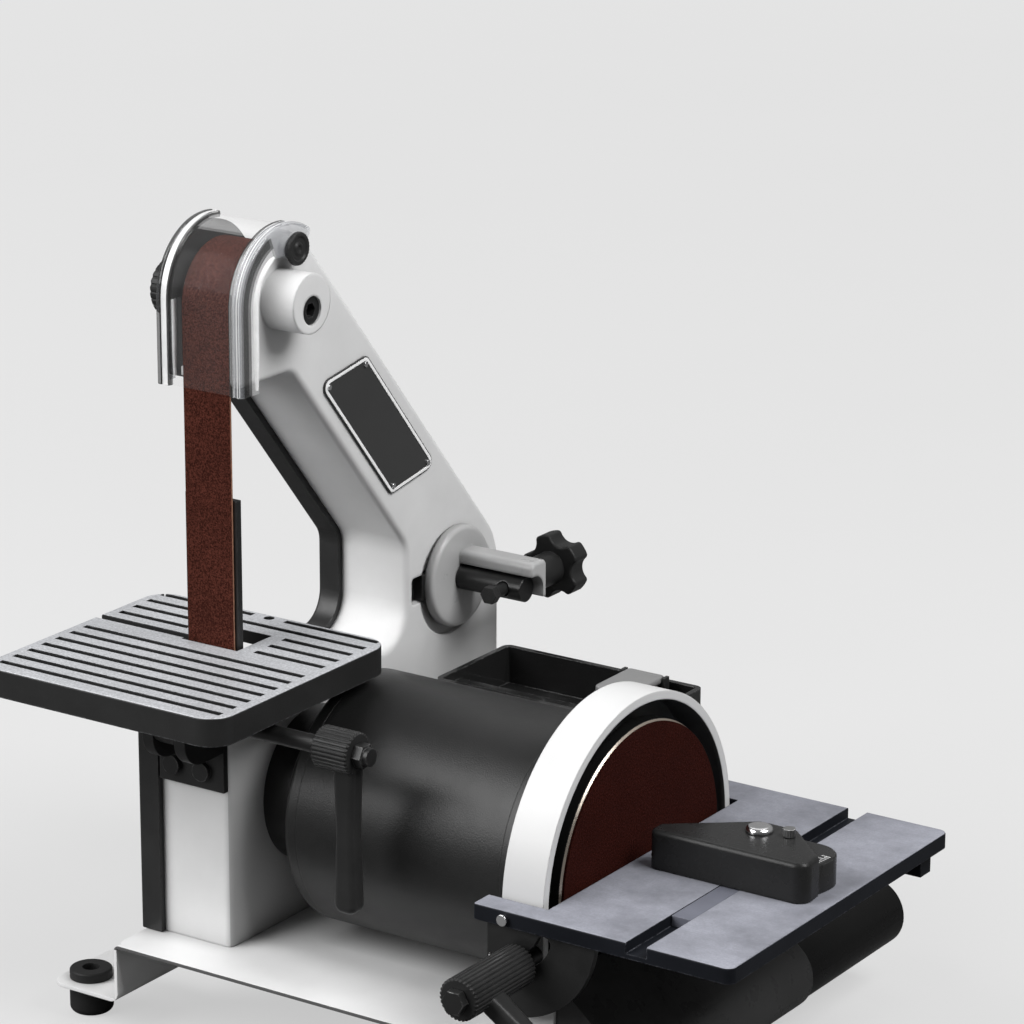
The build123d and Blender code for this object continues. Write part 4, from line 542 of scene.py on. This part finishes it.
# Clear eye shield: one moulded sheet with raised side bands and beaded rims, swept over the top wheel.
# An arc counts quarter turns from the front over the top. From TAB_FROM on, the flange right of TAB_LEFT
# widens into the tab that the shield swings on.
HEAD_Y, HEAD_Z = -19.4, 230.4
SHIELD_LEFT, SHIELD_RIGHT = -220.3, -172.7
SHIELD_BOTTOM, SHIELD_BACK, TAB_BACK = 193.0, -15.0, -2.0
SHEET_R, BAND_R, RIM_R, TAB_R = 32.5, 34.0, 22.0, 18.5
BAND_WIDTH = 7.5
SHIELD_THICK = 1.5
TAB_FROM, TAB_LEFT = 0.72, -176.0
GROOVE_OUT, GROOVE_IN, GROOVE_DEEP, GROOVE_SLOPE = 3.0, 5.0, 0.5, 0.4
EDGE_ROUND, GROOVE_ROUND, BAND_ROUND, STEP_ROUND = 2.4, 0.3, 0.95, 0.5
FRONT_STEPS, ARC_STEPS, TAIL_STEPS = 8, 24, 10
WALL_BEVEL, WALL_BEVEL_STEPS = 0.45, 3
SHIELD_SHARP = 60.0

# Which plastic shows where, pale strips being painted highlights and dark strips painted shade: depths
# below the band, widths along it, and the arc from which the left side takes painted shade
FLANGE_DEEP, DARK_DEEP, LEFT_DARK_FROM = 2.0, 7.0, 0.15
LEFT_STEP, RIGHT_STEP, STEP_MARGIN, RIDGE = 0.9, 2.2, 0.3, 0.6
SHEET, CROWN, HAZY, GLINT_STRIP, SHADE_STRIP = range(5)


def shield_point(x, r, angle, drop=0.0):
    """A point of the shield: angle runs from the front over the top, drop goes down the straight front."""
    return at(x, HEAD_Y - r * math.cos(angle), HEAD_Z + r * math.sin(angle) - drop)


def shield_side(edge, inward):
    """One side of the shield's section from its free edge to the sheet, as (x, r, rounding)."""
    low = BAND_R - GROOVE_DEEP
    groove = ((GROOVE_OUT, BAND_R), (GROOVE_OUT + GROOVE_SLOPE, low),
              (GROOVE_IN - GROOVE_SLOPE, low), (GROOVE_IN, BAND_R))
    run = [(0.0, RIM_R, 0.0), (0.0, BAND_R, EDGE_ROUND)] + [(d, r, GROOVE_ROUND) for d, r in groove]
    run += [(BAND_WIDTH, BAND_R, BAND_ROUND), (BAND_WIDTH, SHEET_R, STEP_ROUND)]
    return [(edge + inward * d, r, rounding) for d, r, rounding in run]


def shield_kind(x, r, arc):
    """Which plastic a strip of the shield shows: painted highlights on the ridges, painted shade on the
    steps and sides, and a clear sheet.
    """
    on_left = x - SHIELD_LEFT < SHIELD_RIGHT - x
    side = min(x - SHIELD_LEFT, SHIELD_RIGHT - x)
    if side > BAND_WIDTH + STEP_MARGIN:
        return CROWN if arc > TAB_FROM else SHEET
    deep = BAND_R - r
    if deep > FLANGE_DEEP and on_left:
        return SHADE_STRIP if arc > LEFT_DARK_FROM else HAZY
    if deep > FLANGE_DEEP and arc > TAB_FROM:
        return HAZY
    if deep > FLANGE_DEEP:
        return SHADE_STRIP if deep < DARK_DEEP else CROWN
    if side > BAND_WIDTH - (LEFT_STEP if on_left else RIGHT_STEP):
        return SHADE_STRIP
    if on_left:
        return GLINT_STRIP if side > GROOVE_OUT + GROOVE_SLOPE else SHADE_STRIP
    if side < GROOVE_OUT - RIDGE or GROOVE_OUT < side < GROOVE_IN:
        return HAZY
    return GLINT_STRIP


def eye_shield():
    corners = shield_side(SHIELD_LEFT, 1) + shield_side(SHIELD_RIGHT, -1)[::-1]
    profile = rounded_run([c[:2] for c in corners], [c[2] for c in corners])
    profile.insert(1, Vector((SHIELD_LEFT, BAND_R - DARK_DEEP)))
    profile.insert(-1, Vector((SHIELD_RIGHT, BAND_R - DARK_DEEP)))
    tab_growth = (BAND_R - TAB_R) / (BAND_R - RIM_R) - 1
    front_drop = HEAD_Z - SHIELD_BOTTOM
    stations = [(0.0, 0.0, front_drop * (1 - i / FRONT_STEPS)) for i in range(FRONT_STEPS)]
    stations += [(i / ARC_STEPS, 0.0, 0.0) for i in range(ARC_STEPS)]
    stations += [(1.0, i / TAIL_STEPS, 0.0) for i in range(TAIL_STEPS + 1)]
    bm = bmesh.new()
    rows = []
    for arc, tail, drop in stations:
        row = []
        for x, r in profile:
            end = TAB_BACK if x > TAB_LEFT else SHIELD_BACK
            if x > TAB_LEFT:
                widen = max(0.0, arc - TAB_FROM) / (1 - TAB_FROM)
                r = BAND_R - (BAND_R - r) * (1 + tab_growth * widen)
            angle = arc * math.pi / 2 + tail * math.asin((end - HEAD_Y) / BAND_R)
            row.append(bm.verts.new(shield_point(x, r, angle, drop)))
        rows.append(row)
    for (arc, _, _), lower, upper in zip(stations, rows, rows[1:]):
        for i, (a, b) in enumerate(zip(profile, profile[1:])):
            face = bm.faces.new((lower[i], lower[i + 1], upper[i + 1], upper[i]))
            face.material_index = shield_kind(*((a + b) / 2), arc)
    kinds = [sheet_plastic, crown_plastic, hazy_plastic, glint_strip_plastic, shade_strip_plastic]
    shield = finish_mesh("eye_shield_moulding", bm, kinds, "shield", SHIELD_SHARP)
    wall = shield.modifiers.new("wall", "SOLIDIFY")
    wall.thickness = SHIELD_THICK * MM
    wall.offset = -1
    edge = shield.modifiers.new("edge", "BEVEL")
    edge.width = WALL_BEVEL * MM
    edge.segments = WALL_BEVEL_STEPS
    edge.limit_method = "ANGLE"
    edge.angle_limit = math.radians(SHIELD_SHARP)
    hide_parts("eye_shield")


# Rolled beads on the shield's side edges, slimmer at their ends; their white plastic is a painted highlight
# along the edges
BEAD_R = 1.25
BEAD_END, BEAD_GROWTH = 0.55, 0.2
BEAD_FRONT_STEPS, BEAD_SIDES = 6, 10
LEFT_BEAD_TO, RIGHT_BEAD_TO = 1.05, TAB_FROM + 0.02


def shield_rim(name, x, reach):
    """Rolled bead along a side flange's free edge; reach is the arc where it ends."""
    bm = bmesh.new()
    rings = []
    front_drop = HEAD_Z - SHIELD_BOTTOM - BEAD_R
    stations = [(0.0, front_drop * (1 - i / BEAD_FRONT_STEPS)) for i in range(BEAD_FRONT_STEPS)]
    stations += [(reach * math.pi / 2 * i / ARC_STEPS, 0.0) for i in range(ARC_STEPS + 1)]
    for i, (angle, drop) in enumerate(stations):
        bead = BEAD_R * min(1.0, BEAD_END + BEAD_GROWTH * min(i, len(stations) - 1 - i))
        ring = []
        for turn in circle(BEAD_SIDES):
            side, out = bead * math.cos(turn), bead * math.sin(turn)
            ring.append(bm.verts.new(shield_point(x + side, RIM_R + out, angle, drop)))
        rings.append(ring)
    close_rings(bm, rings)
    finish_mesh(name, bm, [rim_plastic], "shield", SHIELD_SHARP)


eye_shield()
shield_rim("eye_shield_left_rim", SHIELD_LEFT + BEAD_R, LEFT_BEAD_TO)
shield_rim("eye_shield_right_rim", SHIELD_RIGHT - BEAD_R, RIGHT_BEAD_TO)

# Shield knob: a turned hand nut with a finely ribbed grip, a dished face and a stud end in the middle
PIVOT_Y, PIVOT_Z = -14.6, 252.4
KNOB_BACK, KNOB_FRONT = -172.4, -169.8
STUD_BACK, STUD_R = -181.9, 2.0
KNOB_R = 7.5
KNOB_RIBS, RIB_DEEP, RIB_STEPS = 30, 0.22, 4
KNOB_SHARP = 35.0


def shield_knob():
    """The nut turned from its section, as (radius, X, ribbed) from the stud's end to the dished face."""
    profile = [
        (STUD_R, STUD_BACK, 0), (STUD_R, KNOB_BACK, 0), (KNOB_R - 0.9, KNOB_BACK, 0),
        (KNOB_R - 0.15, KNOB_BACK + 0.4, 1), (KNOB_R, KNOB_BACK + 0.8, 1), (KNOB_R, KNOB_FRONT - 0.7, 1),
        (KNOB_R - 0.25, KNOB_FRONT - 0.2, 1), (KNOB_R - 0.9, KNOB_FRONT, 0),
        (KNOB_R - 1.9, KNOB_FRONT - 0.1, 0), (KNOB_R - 2.5, KNOB_FRONT - 0.8, 0),
        (3.1, KNOB_FRONT - 1.0, 0), (2.7, KNOB_FRONT - 0.5, 0), (2.3, KNOB_FRONT - 0.15, 0),
        (1.5, KNOB_FRONT - 0.3, 0), (1.2, KNOB_FRONT - 0.9, 0),
    ]
    bm = bmesh.new()
    rings = []
    for r, x, ribbed in profile:
        ring = []
        for angle in circle(KNOB_RIBS * RIB_STEPS):
            rib = RIB_DEEP * ribbed * (0.5 - 0.5 * math.cos(KNOB_RIBS * angle))
            y = PIVOT_Y + (r - rib) * math.cos(angle)
            z = PIVOT_Z + (r - rib) * math.sin(angle)
            ring.append(bm.verts.new(at(x, y, z)))
        rings.append(ring)
    close_rings(bm, rings)
    knob = finish_mesh("shield_hand_nut", bm, [knob_plastic], "shield_lock", KNOB_SHARP)
    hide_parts("shield_knob")


shield_knob()

# Sanding belt: a cloth loop with grit outside and pale cut edges.
# Each wheel is given by its centre in (Y, Z) and the radius of the belt's inner face.
BELT_LEFT, BELT_RIGHT = -210.8, -185.4
BELT_THICK = 1.0
WHEELS = [((0.0, 0.0), 45.0), ((114.5, 68.3), 18.5), ((HEAD_Y, 227.2), 25.6)]
RUN_STEPS, WRAP_STEPS = 12, 28
GRIT, CLOTH, EDGE = range(3)
BELT_SHARP = 50.0


def belt_line():
    """Points and outward normals of the belt's inner face round the three wheels, in (Y, Z)."""
    pairs = list(zip(WHEELS, WHEELS[1:] + WHEELS[:1]))
    normals = []
    for ((y0, z0), r0), ((y1, z1), r1) in pairs:
        along = math.atan2(z1 - z0, y1 - y0)
        normals.append(along - math.acos((r0 - r1) / math.hypot(y1 - y0, z1 - z0)))
    line = []
    for (((y0, z0), r0), ((y1, z1), r1)), turn, after in zip(pairs, normals, normals[1:] + normals[:1]):
        for step in range(RUN_STEPS):
            t = step / RUN_STEPS
            r = r0 + (r1 - r0) * t
            y = y0 + (y1 - y0) * t + r * math.cos(turn)
            z = z0 + (z1 - z0) * t + r * math.sin(turn)
            line.append((y, z, turn))
        sweep = (after - turn) % (2 * math.pi)
        for step in range(WRAP_STEPS):
            angle = turn + sweep * step / WRAP_STEPS
            line.append((y1 + r1 * math.cos(angle), z1 + r1 * math.sin(angle), angle))
    return line


def sanding_belt():
    bm = bmesh.new()
    rings = []
    for y, z, turn in belt_line():
        out = (y + BELT_THICK * math.cos(turn), z + BELT_THICK * math.sin(turn))
        rings.append([bm.verts.new(at(BELT_LEFT, *out)), bm.verts.new(at(BELT_RIGHT, *out)),
                      bm.verts.new(at(BELT_RIGHT, y, z)), bm.verts.new(at(BELT_LEFT, y, z))])
    for ring, after in zip(rings, rings[1:] + rings[:1]):
        for j, material in enumerate((GRIT, EDGE, CLOTH, EDGE)):
            k = (j + 1) % len(ring)
            face = bm.faces.new((ring[j], ring[k], after[k], after[j]))
            face.material_index = material
    kinds = [belt_grit, belt_cloth, belt_edge]
    belt = finish_mesh("belt_loop", bm, kinds, "frame", BELT_SHARP)
    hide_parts("sanding_belt")


sanding_belt()

# Tension spring inside the arm, between the arm's boss and the bracket's lug; the coil is built at one
# length
SPRING_WIRE_R, SPRING_TURNS = 0.55, 6
TURN_STEPS, WIRE_SIDES = 24, 8
SPRING_SHARP = 60.0


def tension_coil():
    low, high = (Vector(corner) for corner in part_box("tension_spring"))
    middle = (low + high) / 2
    along = Vector((0, 1, 0))
    wire = SPRING_WIRE_R * MM
    coil_r = (high.x - low.x) / 2 - wire
    count = SPRING_TURNS * TURN_STEPS
    bm = bmesh.new()
    rings = []
    for step in range(count + 1):
        angle = 2 * math.pi * step / TURN_STEPS
        out = Vector((math.cos(angle), 0, math.sin(angle)))
        y = low.y + wire + (high.y - low.y - 2 * wire) * step / count
        centre = Vector((middle.x, y, middle.z)) + out * coil_r
        spokes = [out * math.cos(turn) + along * math.sin(turn) for turn in circle(WIRE_SIDES)]
        rings.append([bm.verts.new(centre + spoke * wire) for spoke in spokes])
    close_rings(bm, rings)
    coil = finish_mesh("tension_coil", bm, [steel], "tension", SPRING_SHARP)
    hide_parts("tension_spring")
    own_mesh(coil)


tension_coil()

# White border line printed round the blank name plate; each edge of it has an inset and a corner radius
PLATE_AT = Vector((53.6, 155.8))
PLATE_LONG, PLATE_END = 84.0, 36.5
PLATE_LEAN, PLATE_END_LEAN = math.radians(-49.8), math.radians(9.3)
PLATE_FACE = -177.0
LINE_PROUD = 0.15
LINE_OUT, LINE_IN = (0.5, 3.4), (2.0, 2.3)
PRINT_SHARP = 30.0


def plate_outline(inset, corner):
    """Closed outline of the plate, moved in from its edges."""
    along = Vector((math.cos(PLATE_LEAN), math.sin(PLATE_LEAN)))
    across = Vector((math.cos(PLATE_END_LEAN), math.sin(PLATE_END_LEAN)))
    skew = abs(along.x * across.y - along.y * across.x)
    long_half = along * (PLATE_LONG / 2 - inset / skew)
    end_half = across * (PLATE_END / 2 - inset / skew)
    signs = ((1, 1), (1, -1), (-1, -1), (-1, 1))
    corners = [PLATE_AT + long_half * a + end_half * b for a, b in signs]
    middle = (corners[-1] + corners[0]) / 2
    return rounded_run([middle] + corners + [middle], [0] + [corner] * len(corners) + [0])[:-1]


def plate_border():
    bm = bmesh.new()
    loops = []
    for edge, x in ((LINE_OUT, 0.0), (LINE_OUT, LINE_PROUD), (LINE_IN, LINE_PROUD), (LINE_IN, 0.0)):
        loops.append([bm.verts.new(at(PLATE_FACE + x, y, z)) for y, z in plate_outline(*edge)])
    close_rings(bm, loops + loops[:1], caps=False)
    finish_mesh("name_plate_border", bm, [line_paint], "frame", PRINT_SHARP)


plate_border()

# Degree marks on the mitre head's arc, every other one short
MITRE_X, MITRE_Y = 52.2, 10.0
SCALE_TOP = 18.7
SCALE_IN, SCALE_OUT = 30.5, 34.8
TICK_WIDE, TICK_PROUD = 0.4, 0.12
FIRST_TICK, TICK_DEGREES = -6, 2.5


def mitre_scale():
    bm = bmesh.new()
    for step in range(FIRST_TICK, 1):
        angle = math.radians(step * TICK_DEGREES)
        inner = SCALE_IN if step % 2 == 0 else (SCALE_IN + SCALE_OUT) / 2
        out = Vector((math.cos(angle), math.sin(angle)))
        side = Vector((-out.y, out.x)) * TICK_WIDE / 2
        corners = [out * inner - side, out * SCALE_OUT - side, out * SCALE_OUT + side, out * inner + side]
        rings = []
        for z in (SCALE_TOP, SCALE_TOP + TICK_PROUD):
            rings.append([bm.verts.new(at(MITRE_X + c.x, MITRE_Y + c.y, z)) for c in corners])
        close_rings(bm, rings)
    finish_mesh("mitre_scale", bm, [line_paint], "protractor", PRINT_SHARP)


mitre_scale()


# Pale floor and studio; what the object itself sees of them is darker than what the camera sees
def pale_rays(tree):
    """One for a ray from the camera, straight or through clear plastic."""
    path = tree.nodes.new("ShaderNodeLightPath")
    return maths(tree, "MAXIMUM", path.outputs["Is Camera Ray"], path.outputs["Is Transmission Ray"])


# Floor, in metres: radii of its rings, the paper's greys, and a glow that evens out its far side
FLOOR_RINGS = (1.5, 3.0, 7.0)
FLOOR_SIDES = 48
CLOUD_SCALE, PAPER_DARK, PAPER_LIGHT, PAPER_BOUNCE = 2.0, 0.19, 0.20, 0.14
GLOW_NEAR, GLOW_FAR, GLOW_LOW, GLOW_HIGH = 0.3, 2.7, 0.53, 0.68


def pale_floor():
    bm = bmesh.new()
    rings = []
    for r in FLOOR_RINGS:
        rings.append([bm.verts.new((r * math.cos(a), r * math.sin(a), 0)) for a in circle(FLOOR_SIDES)])
    bm.faces.new(rings[0])
    close_rings(bm, rings, caps=False)
    mesh = bpy.data.meshes.new("floor")
    bm.to_mesh(mesh)
    bm.free()
    floor = bpy.data.objects.new("floor", mesh)
    bpy.context.scene.collection.objects.link(floor)
    material = bpy.data.materials.new("floor_paper")
    material.use_nodes = True
    tree = material.node_tree
    tree.nodes.clear()
    where = tree.nodes.new("ShaderNodeTexCoord").outputs["Object"]
    cloud = patchy(tree, noise(tree, where, CLOUD_SCALE))
    shade = mix(tree, cloud, tint(grey(PAPER_DARK)), tint(grey(PAPER_LIGHT)))
    paper = add(tree, "ShaderNodeBsdfDiffuse", Color=shade)
    away = add(tree, "ShaderNodeVectorMath", {"operation": "LENGTH"}, Vector=where).outputs["Value"]
    even = span(tree, away, GLOW_NEAR, GLOW_FAR, GLOW_LOW, GLOW_HIGH)
    glow = add(tree, "ShaderNodeEmission", Color=tint(grey(1.0)), Strength=even)
    seen = tree.nodes.new("ShaderNodeAddShader")
    put(tree, paper.outputs[0], seen.inputs[0])
    put(tree, glow.outputs[0], seen.inputs[1])
    bounced = add(tree, "ShaderNodeBsdfDiffuse", Color=tint(grey(PAPER_BOUNCE)))
    choose = tree.nodes.new("ShaderNodeMixShader")
    put(tree, pale_rays(tree), choose.inputs[0])
    put(tree, bounced.outputs[0], choose.inputs[1])
    put(tree, seen.outputs[0], choose.inputs[2])
    put(tree, choose.outputs[0], tree.nodes.new("ShaderNodeOutputMaterial").inputs[0])
    mesh.materials.append(material)


pale_floor()

# Room, by direction: how it brightens towards the back and overhead, and what the camera sees of it
BEHIND_FROM, BEHIND_TO, BEHIND_DIM, BEHIND_BRIGHT = -0.3, 0.8, 0.05, 0.22
OVER_FROM, OVER_TO, OVER_DIM, OVER_BRIGHT = -0.1, 0.9, 0.02, 0.14
ROOM_SEEN = 0.77


def studio_world():
    """Dim room, brighter behind the object and overhead."""
    world = bpy.data.worlds.new("studio")
    world.use_nodes = True
    tree = world.node_tree
    tree.nodes.clear()
    where = tree.nodes.new("ShaderNodeTexCoord").outputs["Generated"]
    behind = span(tree, split(tree, where)["Y"], BEHIND_FROM, BEHIND_TO, BEHIND_DIM, BEHIND_BRIGHT)
    over = span(tree, split(tree, where)["Z"], OVER_FROM, OVER_TO, OVER_DIM, OVER_BRIGHT)
    soft = maths(tree, "ADD", behind, over)
    strength = between(tree, pale_rays(tree), soft, ROOM_SEEN)
    background = add(tree, "ShaderNodeBackground", Color=tint(grey(1.0)), Strength=strength)
    put(tree, background.outputs[0], tree.nodes.new("ShaderNodeOutputWorld").inputs[0])
    bpy.context.scene.world = world


studio_world()

# Soft boxes: a large one in front on the left, a higher one on the right, and a weak one for the back.
# They stand in metres from the object's middle.
AIM = Vector((0.0, 0.0, 0.18))


def soft_box(name, towards, distance, size, power):
    data = bpy.data.lights.new(name, "AREA")
    data.shape = "RECTANGLE"
    data.size = size[0]
    data.size_y = size[1]
    data.energy = power
    lamp = bpy.data.objects.new(name, data)
    bpy.context.scene.collection.objects.link(lamp)
    lamp.location = AIM + Vector(towards).normalized() * distance
    lamp.rotation_euler = (AIM - lamp.location).to_track_quat("-Z", "Y").to_euler()


soft_box("key", towards=(-0.50, -0.66, 0.52), distance=2.7, size=(2.2, 2.2), power=99)
soft_box("right", towards=(0.66, 0.02, 0.75), distance=1.9, size=(1.0, 1.0), power=36)
soft_box("back", towards=(-0.30, 0.60, 0.85), distance=2.4, size=(1.6, 1.2), power=6)
bpy.context.scene.view_settings.view_transform = "Standard"
